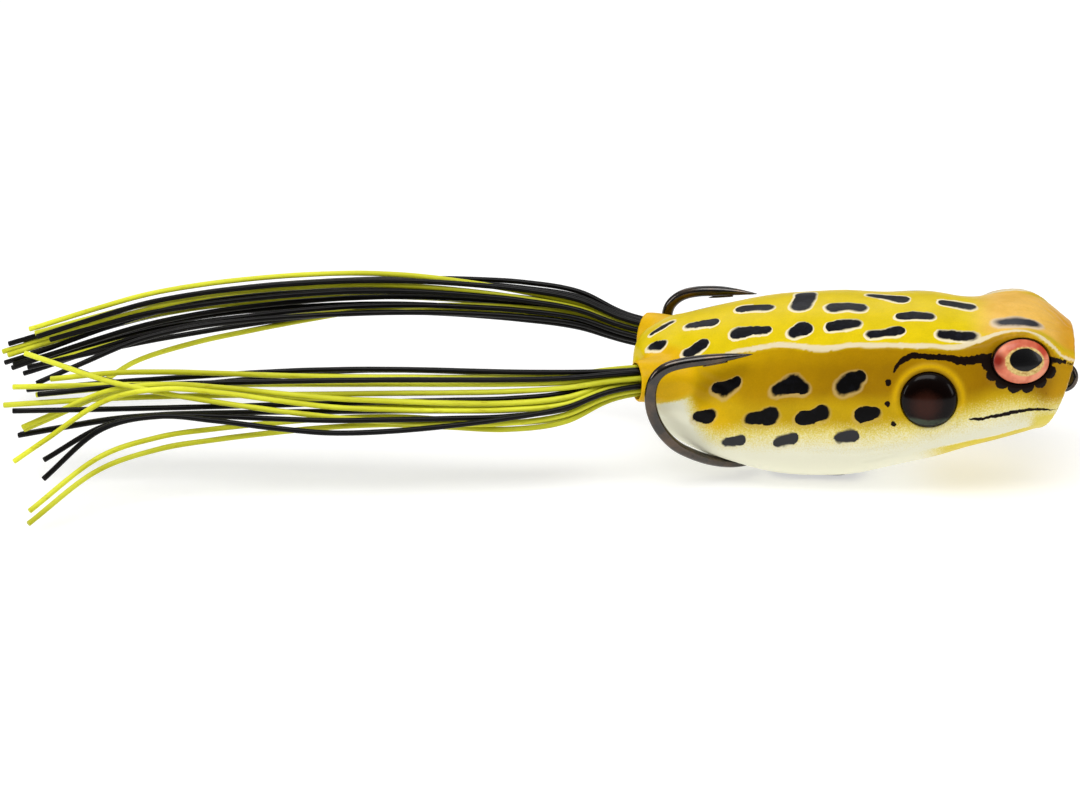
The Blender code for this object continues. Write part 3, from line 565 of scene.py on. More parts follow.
def relaxed(obj, weights, turns):
    """Evens out the surface where weights are above 0, by moving points towards their neighbours."""
    edges = np.empty(len(obj.data.edges) * 2, np.int32)
    obj.data.edges.foreach_get("vertices", edges)
    a, b = edges.reshape(-1, 2).T
    points = vertex_array(obj)
    degree = np.bincount(np.r_[a, b], minlength=len(points))[:, None]
    for _ in range(turns):
        total = np.zeros_like(points)
        for k in range(3):
            total[:, k] += np.bincount(a, points[b, k], len(points))
            total[:, k] += np.bincount(b, points[a, k], len(points))
        points += 0.5 * weights[:, None] * (total / degree - points)
    set_vertices(obj, points)


def give(obj, name, values):
    """Stores one number, or one colour, at each vertex for the materials to read."""
    values = np.asarray(values, np.float32)
    if values.ndim == 1:
        attribute = obj.data.attributes.new(name, "FLOAT", "POINT")
        attribute.data.foreach_set("value", values)
    else:
        attribute = obj.data.attributes.new(name, "FLOAT_COLOR", "POINT")
        with_alpha = np.column_stack([values, np.ones(len(values), np.float32)])
        attribute.data.foreach_set("color", with_alpha.astype(np.float32).ravel())


def step_at(values, edge, width):
    """0 below the edge and 1 above it, smooth over width."""
    t = np.clip((values - edge) / width + 0.5, 0, 1)
    return t * t * (3 - 2 * t)


def mixed(colours, other, share):
    """The colours moved towards another by a share from 0 to 1 at each point."""
    return colours + (np.array(other) - colours) * share[:, None]


def bump(distance, width):
    """A smooth hump, 1 at distance 0."""
    return np.exp(-(distance / width) ** 2)


def side_point(point, side):
    """A point given for the left side, on the side wanted."""
    return Vector((point[0], side * point[1], point[2]))


def skin_basis(out, side):
    """Forwards, up and outwards on the skin at an eye or an ear."""
    normal = side_point(out, side).normalized()
    forwards = (Vector((1, 0, 0)) - normal.x * normal).normalized()
    up = forwards.cross(normal) * side
    return forwards, up, normal


def local_places(points, centre, out, side):
    """(forwards, up, outwards) of each point from an eye's or ear's centre."""
    from_centre = points - np.array(side_point(centre, side))
    return [from_centre @ np.array(axis) for axis in skin_basis(out, side)]


def on_side(points, centre, side):
    """True for points about as far out sideways as an eye or an ear is."""
    return np.abs(points[:, 1] - side * centre[1]) < INSET_REACH


def oval(centre, out, side, half, rise, count):
    """A ring of points round an eye or an ear, standing rise above the skin."""
    forwards, up, normal = skin_basis(out, side)
    middle = side_point(centre, side) + normal * rise
    return [middle + forwards * half[0] * math.cos(a) + up * half[1] * math.sin(a)
            for a in turn(count)]


def from_eye(points, side):
    """(forwards, up, outwards) from an eye's centre, and about how far outside its edge."""
    f, u, out = local_places(points, EYE_CENTRE, EYE_OUT, side)
    return f, u, out, (np.hypot(f / EYE_HALF[0], u / EYE_HALF[1]) - 1) * EYE_MEAN_HALF


def socket_places(points, side, nearest=-math.inf, farthest=math.inf):
    """(distance along the socket's axis, distance from the axis) of each point.

    The axis is taken to run only from nearest to farthest, measured from its start."""
    start, end = (np.array(side_point(p, side)) for p in (SOCKET_START, SOCKET_END))
    along = (end - start) / np.linalg.norm(end - start)
    back = (points - start) @ along
    on_axis = start + np.clip(back, nearest, farthest)[:, None] * along
    return back, np.linalg.norm(points - on_axis, axis=1)


# ---------------------------------------------------------------- material helpers

class Value:
    """A number that a material's nodes work out, for ordinary arithmetic."""

    def __init__(self, shader, socket):
        self.shader = shader
        self.socket = socket

    def __add__(self, other):
        return self.shader.math("ADD", self, other)

    def __sub__(self, other):
        return self.shader.math("SUBTRACT", self, other)

    def __mul__(self, other):
        return self.shader.math("MULTIPLY", self, other)

    def __truediv__(self, other):
        return self.shader.math("DIVIDE", self, other)

    def __abs__(self):
        return self.shader.math("ABSOLUTE", self)


class Shader:
    """The nodes of a material or a world, with short calls for what its look is made of."""

    def __init__(self, block, surface="Principled BSDF"):
        block.use_nodes = True
        self.block = block
        self.tree = block.node_tree
        self.surface = self.tree.nodes[surface]

    def node(self, kind, **settings):
        made = self.tree.nodes.new(kind)
        for key, value in settings.items():
            setattr(made, key, value)
        return made

    def join(self, source, socket):
        if isinstance(source, Value):
            source = source.socket
        if isinstance(source, bpy.types.NodeSocket):
            self.tree.links.new(source, socket)
        else:
            socket.default_value = source

    def attribute(self, name):
        return Value(self, self.node("ShaderNodeAttribute", attribute_name=name).outputs["Fac"])

    def colour_attribute(self, name):
        return self.node("ShaderNodeAttribute", attribute_name=name).outputs["Color"]

    def place(self, kind="Object"):
        return self.node("ShaderNodeTexCoord").outputs[kind]

    def noise(self, size_mm, detail=2.0, roughness=0.5, stretch=None):
        """Noise from 0 to 1, its features about size_mm across."""
        made = self.node("ShaderNodeTexNoise")
        vector = self.place()
        if stretch:
            mapping = self.node("ShaderNodeMapping")
            mapping.inputs["Scale"].default_value = stretch
            self.join(vector, mapping.inputs["Vector"])
            vector = mapping.outputs["Vector"]
        self.join(vector, made.inputs["Vector"])
        made.inputs["Scale"].default_value = 1 / (size_mm * MM)
        made.inputs["Detail"].default_value = detail
        made.inputs["Roughness"].default_value = roughness
        return Value(self, made.outputs["Fac"])

    def math(self, operation, *values):
        made = self.node("ShaderNodeMath", operation=operation)
        for socket, value in zip(made.inputs, values):
            self.join(value, socket)
        return Value(self, made.outputs[0])

    def length(self, first, second):
        """The distance that two steps at right angles lead to."""
        return self.math("SQRT", first * first + second * second)

    def ramp(self, value, low, high, to_low=0.0, to_high=1.0, soft=True):
        """The value mapped from low..high to to_low..to_high."""
        made = self.node("ShaderNodeMapRange")
        made.interpolation_type = "SMOOTHSTEP" if soft else "LINEAR"
        for socket, number in zip(made.inputs, (value, low, high, to_low, to_high)):
            self.join(number, socket)
        return Value(self, made.outputs[0])

    def mix(self, share, first, second):
        """The first colour at share 0 and the second at 1."""
        made = self.node("ShaderNodeMix", data_type="RGBA")
        self.join(share, made.inputs["Factor"])
        ends = [s for s in made.inputs if s.type == "RGBA"]
        for value, socket in zip((first, second), ends):
            self.join((*value, 1.0) if isinstance(value, tuple) else value, socket)
        return [s for s in made.outputs if s.type == "RGBA"][0]

    def shaded(self, colour, brightness):
        made = self.node("ShaderNodeHueSaturation")
        self.join(brightness, made.inputs["Value"])
        self.join(colour, made.inputs["Color"])
        return made.outputs["Color"]

    def bump(self, height, distance_mm, strength):
        made = self.node("ShaderNodeBump")
        made.inputs["Strength"].default_value = strength
        made.inputs["Distance"].default_value = distance_mm * MM
        self.join(height, made.inputs["Height"])
        self.join(made.outputs["Normal"], self.surface.inputs["Normal"])

    def set(self, **values):
        """Plain numbers or sockets for the surface, such as Base_Color or Roughness."""
        for key, value in values.items():
            if isinstance(value, tuple):
                value = (*value, 1.0)
            self.join(value, self.surface.inputs[key.replace("_", " ")])
        return self.block


def new_material(name):
    return Shader(bpy.data.materials.new(name))


def skin_material():
    """Painted soft vinyl: airbrushed ground, haloed spots, cream and black lines."""
    s = new_material("painted_vinyl")
    low = s.attribute("flank")
    blur = s.attribute("blur")
    wave = s.noise(1.3, 1.0, 0.4) - 0.5
    rag = s.noise(0.42, 2.0, 0.6) - 0.5
    wobble = wave * 0.3 + rag * s.ramp(low, 0.0, 1.0, 0.03, 0.16)
    grain = s.noise(0.22, 2.0, 0.75)
    cloud = s.noise(4.5, 2.0, 0.5)

    tone = s.ramp(s.noise(2.6, 3.0, 0.55), 0.3, 0.7, 0.95, 1.04)
    tone = tone * s.ramp(grain, 0.3, 0.7, 0.955, 1.035)
    colour = s.shaded(s.colour_attribute("ground"), tone)
    mottle = s.ramp(s.noise(3.4, 3.0, 0.6), 0.42, 0.66, 0.0, 0.45)
    colour = s.mix(blur * mottle, colour, linear(222, 168, 38))
    speckle = s.attribute("ivory") + (grain - 0.5) * 6.5 + (cloud - 0.5) * 1.2
    colour = s.mix(s.ramp(speckle, -2.2, 3.0), colour, IVORY)

    fuzz = s.ramp(cloud, 0.42, 0.6, 0.06, 0.3)
    halo_at = s.attribute("halo") + wobble * 0.8
    halo_colour = s.mix(low, linear(244, 232, 196), linear(196, 170, 112))
    halo_colour = s.mix(blur, halo_colour, linear(222, 200, 170))
    halo_edge = s.ramp(low, 0.0, 1.0, 0.2, 0.38) + fuzz * 0.7 + blur * 0.5
    halo = s.ramp(halo_at, s.ramp(low, 0.0, 1.0, 0.16, 0.1), halo_edge, 1.0, 0.0)
    colour = s.mix(halo * s.attribute("halo_share"), colour, halo_colour)

    def stroke(name, unsteady):
        """How far outside a painted line a place is, below 0 inside it."""
        return abs(s.attribute(name) + unsteady) - s.attribute(name + "_half")

    cream = stroke("cream", wave * 0.3)
    colour = s.mix(s.ramp(cream, -0.16, 0.16, 1.0, 0.0) * 0.92, colour, linear(228, 214, 180))

    ink = s.mix(low, linear(9, 9, 16), linear(4, 3, 3))
    ink = s.mix(blur * 0.5, ink, linear(52, 54, 62))
    ink = s.mix(s.attribute("grey"), ink, linear(50, 50, 52))
    # Painted reflection: a lighter blue-grey sheen in patches over the spots' ink, strongest on the
    # back.
    painted_sheen = s.ramp(s.noise(0.9, 3.0, 0.7), 0.45, 0.8) * s.ramp(low, 0.0, 1.0, 0.4, 0.12)
    ink = s.mix(painted_sheen, ink, linear(44, 46, 60))
    fuzz = fuzz + blur * 0.42
    inked = s.ramp(s.attribute("spot") + wobble, fuzz * -0.9, fuzz * 0.8, 1.0, 0.0)
    colour = s.mix(inked, colour, ink)

    line = s.attribute("line") + rag * 0.34
    dots = s.attribute("dots") + rag * 0.2
    mouth = stroke("mouth", wave * 0.22) + rag * 0.12
    nearest = s.math("MINIMUM", mouth, s.math("MINIMUM", line, dots))
    colour = s.mix(s.ramp(nearest, -0.04, 0.06, 1.0, 0.0), colour, linear(20, 9, 5))

    s.bump(s.noise(0.5, 3.0, 0.55) * 0.7 + inked * 0.5, 0.06, 0.6)
    return s.set(Base_Color=colour, Roughness=s.noise(1.2, 3.0, 0.6) * 0.16 + 0.3,
                 Specular_IOR_Level=0.08, Coat_Weight=0.02, Coat_Roughness=0.2)


def eye_material():
    """A moulded eye: copper iris, gold inner ring and a black drop-shaped pupil under gloss."""
    s = new_material("eye_enamel")
    forward = s.attribute("forward")
    up = s.attribute("up")

    def ellipse(centre_f, centre_u, half_f, half_u):
        """1 on the ellipse and less inside it."""
        return s.length((forward - centre_f) / half_f, (up - centre_u) / half_u)

    streak = s.noise(0.35, 3.0, 0.6)
    wash = s.noise(2.2, 2.0, 0.5)
    copper = s.mix(s.ramp(wash, 0.35, 0.65), linear(238, 150, 114), linear(206, 98, 70))
    behind = ellipse(-3.5, 0.1, 1.15, 1.5)
    copper = s.mix(s.ramp(behind, 0.2, 1.25, 0.95, 0.0), copper, linear(128, 26, 16))
    ahead = ellipse(2.75, 1.6, 1.3, 1.5)
    copper = s.mix(s.ramp(ahead, 0.25, 1.1, 0.8, 0.0), copper, linear(186, 50, 34))
    copper = s.mix(s.ramp(streak, 0.6, 0.75, 0.0, 0.35), copper, linear(168, 60, 44))

    gold = s.mix(s.ramp(streak, 0.35, 0.7), linear(224, 198, 124), linear(186, 146, 76))
    gold_ring = ellipse(0.25, 0.05, 2.85, 2.05) + streak * 0.12
    colour = s.mix(s.ramp(gold_ring, 1.0, 1.1, 1.0, 0.0), copper, gold)

    # The pupil is round behind its middle and narrows to a point ahead of it.
    middle = 0.3
    narrow = s.math("MAXIMUM", s.ramp(forward, 0.7, 2.8, 1.0, 0.0, soft=False), 0.0001)
    half_up = s.math("POWER", narrow, 0.55) * 1.6
    rearward = (s.math("MINIMUM", forward, middle) - middle) / 2.3
    pupil = s.length((up - middle) / half_up, rearward)
    colour = s.mix(s.ramp(pupil, 0.97, 1.04, 1.0, 0.0), colour, linear(8, 8, 9))
    rim = ellipse(0.0, 0.0, *EYE_HALF)
    colour = s.mix(s.ramp(rim, 0.955, 0.99), colour, linear(28, 8, 6))
    s.bump(streak, 0.02, 0.3)
    return s.set(Base_Color=colour, Roughness=0.26, Specular_IOR_Level=0.2, Coat_Weight=0.2,
                 Coat_Roughness=0.05)


def ear_material():
    """A dark glossy dome, with painted light in brown where light comes through it and a painted
    greenish reflection of the floor along its lower edge.
    """
    s = new_material("ear_gloss")
    forward = s.attribute("forward")
    up = s.attribute("up")
    wash = s.noise(1.6, 3.0, 0.6)
    # Painted light: brown where light shines through the dark dome, near-black elsewhere.
    warm = s.length(forward + 0.5, up + 0.9) + (wash - 0.5) * 1.2
    colour = s.mix(s.ramp(warm, 0.5, 3.0, 1.0, 0.0), linear(8, 2, 1), linear(52, 24, 16))
    # Painted reflection: a greenish-grey crescent of the floor along the dome's lower edge.
    low = s.length(forward, up - 1.2)
    floor_reflection = s.ramp(low, 3.75, 4.05) * s.ramp(low, 4.65, 4.8, 1.0, 0.0)
    floor_reflection = floor_reflection * s.ramp(up, -2.2, -2.9) * s.ramp(wash, 0.3, 0.6, 0.3, 0.8)
    colour = s.mix(floor_reflection, colour, linear(70, 80, 66))
    s.bump(s.noise(0.8, 2.0, 0.5), 0.02, 0.25)
    return s.set(Base_Color=colour, Roughness=0.16, Specular_IOR_Level=0.1, Coat_Weight=0.07,
                 Coat_Roughness=0.03)


def wire_material():
    """Black nickel plate: dark, polished, with fine drawing marks and a warm cast."""
    s = new_material("black_nickel")
    marks = s.noise(0.22, 3.0, 0.7)
    cast = s.ramp(s.noise(3.0, 3.0, 0.6), 0.4, 0.7)
    colour = s.mix(cast, linear(72, 70, 68), linear(96, 84, 74))
    colour = s.mix(s.ramp(marks, 0.58, 0.72, 0.0, 0.6), colour, linear(34, 32, 32))
    s.bump(marks, 0.02, 0.4)
    rough = s.noise(0.9, 3.0, 0.6) * 0.14 + 0.08
    return s.set(Base_Color=colour, Roughness=rough, Metallic=1.0)


def weight_material():
    """Cast lead alloy: dull grey, pitted, with darker oxide in the hollows."""
    s = new_material("cast_weight")
    pits = s.noise(0.6, 4.0, 0.65)
    wash = s.ramp(s.noise(3.0, 3.0, 0.6), 0.35, 0.65)
    colour = s.mix(wash, linear(150, 150, 154), linear(112, 113, 118))
    colour = s.mix(s.ramp(pits, 0.58, 0.7, 0.0, 0.6), colour, linear(74, 74, 78))
    s.bump(pits, 0.08, 0.6)
    return s.set(Base_Color=colour, Roughness=pits * 0.2 + 0.4, Metallic=0.85)


def rubber_material(name, light, dark, accent, roughness):
    """Skirt rubber: colour that drifts along and across the strand, with a faint moulding grain."""
    s = new_material(name)
    drift = s.noise(7.0, 2.0, 0.5, stretch=(0.35, 1.0, 1.0))
    fine = s.noise(0.5, 3.0, 0.6, stretch=(0.2, 1.0, 1.0))
    colour = s.mix(s.ramp(drift, 0.38, 0.62), light, dark)
    colour = s.mix(s.ramp(fine, 0.56, 0.74, 0.0, 0.55), colour, accent)
    colour = s.shaded(colour, s.ramp(s.attribute("tint"), 0.0, 1.0, 0.86, 1.12))
    s.bump(fine, 0.03, 0.5)
    return s.set(Base_Color=colour, Roughness=roughness, Specular_IOR_Level=0.16)


def collar_material():
    s = new_material("collar_band")
    grain = s.noise(0.4, 3.0, 0.6)
    s.bump(grain, 0.03, 0.5)
    return s.set(Base_Color=s.mix(grain, linear(30, 29, 30), linear(48, 46, 46)), Roughness=0.6)


# ---------------------------------------------------------------- the soft body

def outer_skin():
    """The outside of the body as one lofted surface, its mouth folded in to the cup."""
    xs = [RUMP_X + d for d in (0.03, 0.1, 0.22, 0.4, 0.65, 1.0)]
    xs += list(np.arange(RUMP_X + 1.5, RIM_X - 0.3, 0.5)) + [RIM_X]
    rings = [ring_at(x, 150) for x in xs]
    rim = rings[-1]
    centre = sum(rim, Vector()) / len(rim)
    for scale, forwards in CUP_ROWS:
        rings.append([centre + (p - centre) * scale + Vector((forwards, 0, 0)) for p in rim])
    return loft("frog_skin", rings, (RUMP_X, 0, RUMP_Z), centre - Vector((CUP_DEPTH, 0, 0)))


def socket_sleeve(side):
    """One leg socket, flared where it grows out of the body and rounded at its lip."""
    start, end = (side_point(p, side) for p in (SOCKET_START, SOCKET_END))
    along = (end - start).normalized()
    steps = np.arange(12) / 12
    line = [start.lerp(end, t) for t in steps]
    radii = np.interp(steps, *zip(*SOCKET_RADIUS)).tolist()
    for back, narrower in SOCKET_LIP:
        line.append(end - along * back)
        radii.append(SOCKET_RADIUS[-1][1] - narrower)
    return tube("socket", line, radii, 40)


def remeshed(obj, voxel):
    """Replaces overlapping closed surfaces with one even skin round them."""
    modifier = obj.modifiers.new("voxels", "REMESH")
    modifier.mode = "VOXEL"
    modifier.voxel_size = voxel * MM
    modifier.use_smooth_shade = True
    return applied(obj)


def joined(first, *others):
    """Moves the meshes of the others into the first object and deletes the others."""
    mesh = bmesh.new()
    for obj in (first, *others):
        mesh.from_mesh(obj.data)
    mesh.to_mesh(first.data)
    mesh.free()
    for obj in others:
        bpy.data.objects.remove(obj, do_unlink=True)
    return first


def sculpted(obj):
    """Adds what the mould and the assembly leave on the skin: lips, folds, seams and dimples."""
    points = vertex_array(obj)
    normals = normals_of(obj)
    section, girth = girth_of(points)
    down = np.abs(girth)
    outside = section < RIM_X - 0.2
    rise = np.zeros(len(points))
    for side in SIDES.values():
        f, u, _ = local_places(points, EAR_CENTRE, EAR_OUT, side)
        lip = bump(np.hypot(f, u) - EAR_LIP_RADIUS, LIP_WIDTH)
        rise += EAR_LIP_HEIGHT * lip * on_side(points, EAR_CENTRE, side)
        edge = from_eye(points, side)[3]
        lip = bump(edge - EYE_LIP_OUTSET, LIP_WIDTH) * outside
        rise += EYE_LIP_HEIGHT * lip * on_side(points, EYE_CENTRE, side)
        from_mouth = points - np.array(side_point(SOCKET_END, side))
        away = np.linalg.norm(from_mouth * (0.55, 1, 1), axis=1)
        folds = np.sin((points[:, 2] + 0.35 * points[:, 0]) * 2.1) * (points[:, 1] * side > 2)
        rise += FOLD_HEIGHT * folds * bump(away - FOLD_RADIUS, FOLD_REACH)
    seam = bump(down - smooth(UNDER_GIRTH, section), SEAM_WIDTH)
    rise += SEAM_HEIGHT * seam * step_at(section, SEAM_START_X, 6) * outside
    rise += KEEL_SEAM_HEIGHT * bump(points[:, 1], KEEL_SEAM_WIDTH) * (normals[:, 2] < -0.4)
    for crease in CREASES:
        away = np.maximum(chain_distance(section, down, crease), 0)
        rise -= CREASE_DEPTH * bump(away, CREASE_WIDTH)
    swell = np.array([noise.noise(Vector(p) * SWELL_PER_MM) for p in points])
    rise += SWELL_HEIGHT * swell * outside
    set_vertices(obj, points + normals * rise[:, None])


def pocket_cutter(centre, out, side, half):
    """The shallow pocket that an eye or an ear sits in, open outwards."""
    rings = []
    for rise, wider in ((-POCKET_DEPTH, 0.0), (-0.1, 0.0), (0.35, 0.12), (2.6, 0.6)):
        grown = [h + POCKET_GAP + wider for h in half]
        rings.append(oval(centre, out, side, grown, rise, POCKET_SIDES))
    return loft("pocket", rings)


def cavity_cutter():
    """The hollow inside the body, a wall's thickness in from the skin."""
    rings = [[Vector((x, y, z)) for y, z in whole(half_section(x, 48, WALL))]
             for x in np.linspace(*CAVITY_X, 60)]
    last = rings[-1]
    middle = sum(last, Vector()) / len(last)
    for forwards, scale in ((0.25, 0.93), (0.4, 0.8)):
        rings.append([middle + (p - middle) * scale + Vector((forwards, 0, 0)) for p in last])
    return loft("cavity", rings, (CAVITY_X[0] - 0.2, 0, RUMP_Z), middle + Vector((0.5, 0, 0)))


def slot_cutter():
    """The weight's slot: a rectangle with round corners, cut up through the belly."""
    outline = []
    for quarter, (sx, sy) in enumerate(((1, 1), (-1, 1), (-1, -1), (1, -1))):
        for k in range(9):
            a = math.radians(90 * quarter + 11.25 * k)
            outline.append((SLOT_X + sx * (SLOT_HALF[0] - SLOT_CORNER) + SLOT_CORNER * math.cos(a),
                            sy * (SLOT_HALF[1] - SLOT_CORNER) + SLOT_CORNER * math.sin(a)))
    return loft("slot", [[(x, y, z) for x, y in outline] for z in (-2.0, 5.0)])


def hook_side(side, spacing):
    """One side's wire, from its point round the bend and along the shank to the nose."""
    route = HOOK_ROUTE if side < 0 else LEFT_BEND + HOOK_ROUTE[len(LEFT_BEND):]
    return through([side_point(p, side) for p in route], spacing)


def nose_cutter():
    """The oval hole where the hook's two shanks leave the nose."""
    before, last = side_point(HOOK_ROUTE[-2], 0), side_point(HOOK_ROUTE[-1], 0)
    along = (last - before).normalized()
    made = tube("nose_hole", [last - along * 4, last + along * 5], [NOSE_HOLE_RADIUS] * 2, 32)
    made.data.transform(Matrix.Diagonal((1, NOSE_HOLE_WIDENING, 1, 1)))
    return made


def body_cutters():
    """Everything that is cut out of the skin: hollow, slot, holes, pockets and hook grooves."""
    cutters = [cavity_cutter(), slot_cutter(), nose_cutter()]
    for side in SIDES.values():
        start, end = (side_point(p, side) for p in (SOCKET_START, SOCKET_END))
        along = (end - start).normalized()
        cutters.append(tube("bore", [start - along, end - along * 0.5, end, end + along * 3],
                            [BORE_RADIUS, BORE_RADIUS, BORE_RADIUS + 0.12, BORE_RADIUS + 0.5], 36))
        cutters.append(pocket_cutter(EYE_CENTRE, EYE_OUT, side, EYE_HALF))
        cutters.append(pocket_cutter(EAR_CENTRE, EAR_OUT, side, EAR_HALF))
        line = [p for p in hook_side(side, 0.8)
                if CHANNEL_X[0] < p.x < CHANNEL_X[1] and p.z < HOOK_MID_Z]
        cutters.append(tube("channel", line, [CHANNEL_RADIUS] * len(line), 20))
    return cutters


def chain_distance(x, girth, chain):
    """Distance in mm to a painted stroke, below 0 inside it."""
    best = np.full(len(x), FAR)
    for (x0, g0, r0), (x1, g1, r1) in zip(chain, chain[1:]):
        dx, dg = x1 - x0, g1 - g0
        t = np.clip(((x - x0) * dx + (girth - g0) * dg) / (dx * dx + dg * dg), 0, 1)
        away = np.hypot(x - x0 - t * dx, girth - g0 - t * dg) - (r0 + t * (r1 - r0))
        best = np.minimum(best, away)
    return best


def nearest_of(x, girth, chains):
    """Distance to the nearest of several painted strokes."""
    return np.min([chain_distance(x, girth, chain) for chain in chains], axis=0)


def eye_band(points):
    """Distance to the scalloped black band under each eye, below 0 inside it."""
    best = np.full(len(points), FAR)
    for side in SIDES.values():
        f, u, out, edge = from_eye(points, side)
        band = np.abs(edge) - EYE_BAND_HALF + NO_PAINT * step_at(u, 0.9, 0.8)
        for angle in np.radians(EYE_LOBE_ANGLES):
            centre_f = (EYE_HALF[0] + EYE_LOBE_OUTSET) * math.cos(angle)
            centre_u = (EYE_HALF[1] + EYE_LOBE_OUTSET) * math.sin(angle)
            band = np.minimum(band, np.hypot(f - centre_f, u - centre_u) - EYE_LOBE_RADIUS)
        best = np.minimum(best, np.where(np.abs(out) < INSET_REACH, band, FAR))
    return best


def ear_lip_highlight(points):
    """Painted light on the top of each ear's raised lip: a pale ring, 1 where it is strongest."""
    rings = []
    for side in SIDES.values():
        f, u, _ = local_places(points, EAR_CENTRE, EAR_OUT, side)
        ring = bump(np.hypot(f, u) - 4.7, 0.45) * step_at(u, -1.0, 5.0)
        rings.append(ring * on_side(points, EAR_CENTRE, side))
    return np.maximum(*rings)


def socket_paint(points):
    """Where the gold of the leg sockets lies, reaching less far down under them."""
    below = step_at(-points[:, 2], -14.0, 3.0)
    sleeves = [step_at(-socket_places(points, side, 5.2, 12)[1], -4.6 + 1.5 * below, 1.4)
               for side in SIDES.values()]
    return np.maximum(*sleeves)


def ground_colours(points, section, girth):
    """The airbrushed ground under the spots, with painted shade partly darkening the flank and cheek
    and painted light on the ears' lips, and how far into the ivory fade each point is.
    """
    down = np.abs(girth)
    below = down - smooth(CREAM_LINE, section)
    ivory = down - smooth(IVORY_GIRTH, section)
    head = step_at(section, HEAD_START_X, 5.0)
    crown = head * step_at(-down, -8.2, 2.5)
    nose = step_at(section, LIP_START_X, 2.6)
    forward = step_at(section, -5.0, 26.0)[:, None]
    upper = np.array(UPPER_REAR_PAINT_AND_SHADE) * (1 - forward) + np.array(UPPER_FRONT_PAINT_AND_SHADE) * forward
    middle = np.array(MIDDLE_REAR_PAINT_AND_SHADE) * (1 - forward) + np.array(MIDDLE_FRONT_PAINT_AND_SHADE) * forward
    early = 2.2 * step_at(section, 20, 10) + 2.6 * step_at(-section, 12, 7)
    under = step_at(down, smooth(UNDER_GIRTH, section) + 0.3, 0.8)
    under = under * step_at(section, 13.0 + 0.12 * np.abs(points[:, 1]) ** 1.4, 14)
    lip = step_at(section, 29.6, 2.4) * step_at(down - smooth(MOUTH_LINE, section), 0.9, 1.6)
    sockets = socket_paint(points)
    colours = np.tile(np.array(BACK_YELLOW), (len(points), 1))
    # Coat over coat: each colour, and how thickly it lies at every point.
    for colour, share in (
            (HEAD_PEACH, crown),
            (NOSE_GOLD, nose * crown),
            (OLIVE_YELLOW, bump(below + 1.1, 0.85) * step_at(section, 27, 3)),
            # Painted shade, in part: the upper and middle flank and the cheek are darkened below the
            # cream line, where the side faces away from the light above.
            (upper, step_at(below, 0.4, 0.9)),
            (middle, step_at(below, 2.3, 2.6)),
            (CHEEK_PAINT_AND_SHADE, head * step_at(below, 2.0, 3.0)),
            (CORNER_GOLD, 0.75 * nose * step_at(below, 1.2, 2.0)),
            (REAR_GOLD, step_at(-section, 18.5, 5.0) * step_at(down, 10.5, 1.5)),
            (LOWER_FLANK, step_at(down, 18.6 - early, 3.0)),
            (REAR_GOLD, 0.8 * step_at(down, 16.5, 4.0) * step_at(-section, 13, 6)),
            # Painted light on the top of each ear's raised lip.
            (REAR_GOLD, 0.65 * ear_lip_highlight(points)),
            (PALE_YELLOW, step_at(ivory, -1.4, 3.0)),
            (JAW_YELLOW, under),
            (LIP_YELLOW, lip),
            (SOCKET_GOLD, sockets)):
        colours = mixed(colours, colour, share)
    ivory = ivory * (1 - under) + NO_IVORY * under
    ivory = ivory * (1 - 0.8 * lip) - 3.5 * lip
    return colours, ivory * (1 - sockets) + NO_IVORY * sockets


def in_mouth_cup(points, normals, section):
    """(True in the mouth's cup, distance from its middle as a share of the rim's) by point."""
    rim = ring_at(RIM_X, 60)
    middle_z = sum(p.z for p in rim) / len(rim)
    tall = max(p.z for p in rim) - middle_z
    wide = max(p.y for p in rim)
    share = np.hypot(points[:, 1] / wide, (points[:, 2] - middle_z) / tall)
    found = (share < CUP_EDGE_SCALE) & (section > RIM_X - CUP_DEPTH - 0.9)
    return found & (normals[:, 0] > -0.2), share


def painted(obj):
    """Stores the paint's colours and distances at every point of the skin."""
    points = vertex_array(obj)
    section, girth = girth_of(points)
    down = np.abs(girth)
    high, low = LEFT_PAINT_DROP
    dropped = down - high + (high - low) * step_at(down, 7.0, 4.0)
    level = np.where(girth < 0, dropped, down)
    pairs = [*BACK_SPOT_PAIRS, *FLANK_SPOT_PAIRS]
    spot = np.minimum(nearest_of(section, girth, BACK_SPOTS), nearest_of(section, level, pairs))
    higher = girth - HALO_OFFSET * np.sign(girth)
    halo = np.minimum(nearest_of(section + HALO_OFFSET / 2, higher, BACK_SPOTS),
                      nearest_of(section + HALO_OFFSET * 0.4, level - HALO_OFFSET, pairs))
    line = np.minimum(nearest_of(section, down, BLACK_LINES), eye_band(points))

    cup, share = in_mouth_cup(points, normals_of(obj), section)
    inner = inner_surface(points)
    bare = cup | inner
    for name, away in (("spot", spot), ("halo", halo), ("line", line),
                       ("dots", nearest_of(section, down, DOTS))):
        give(obj, name, np.where(bare, NO_PAINT, away))
    for name, middle, half in (("cream", CREAM_LINE, CREAM_HALF),
                               ("mouth", MOUTH_LINE, MOUTH_HALF)):
        drawn = section > middle[0][0]
        give(obj, name, np.where(bare, NO_PAINT, down - smooth(middle, section)))
        give(obj, f"{name}_half", np.where(drawn, smooth(half, section), NO_LINE))
    colours, ivory = ground_colours(points, section, girth)
    colours[cup] = CUP_CREAM
    colours[inner] = BARE_VINYL
    ivory = np.where(cup, -1.6 - 2.5 * share, ivory)
    give(obj, "ground", colours)
    give(obj, "ivory", np.where(inner, -NO_PAINT, ivory))
    give(obj, "flank", step_at(down, 12.0, 1.5))
    give(obj, "grey", step_at(down, 22.4, 0.8))
    give(obj, "blur", step_at(section, HEAD_START_X, 4.0) * step_at(-down, -10.0, 2.0))
    give(obj, "halo_share", np.interp(down, *zip(*HALO_SHARE)))


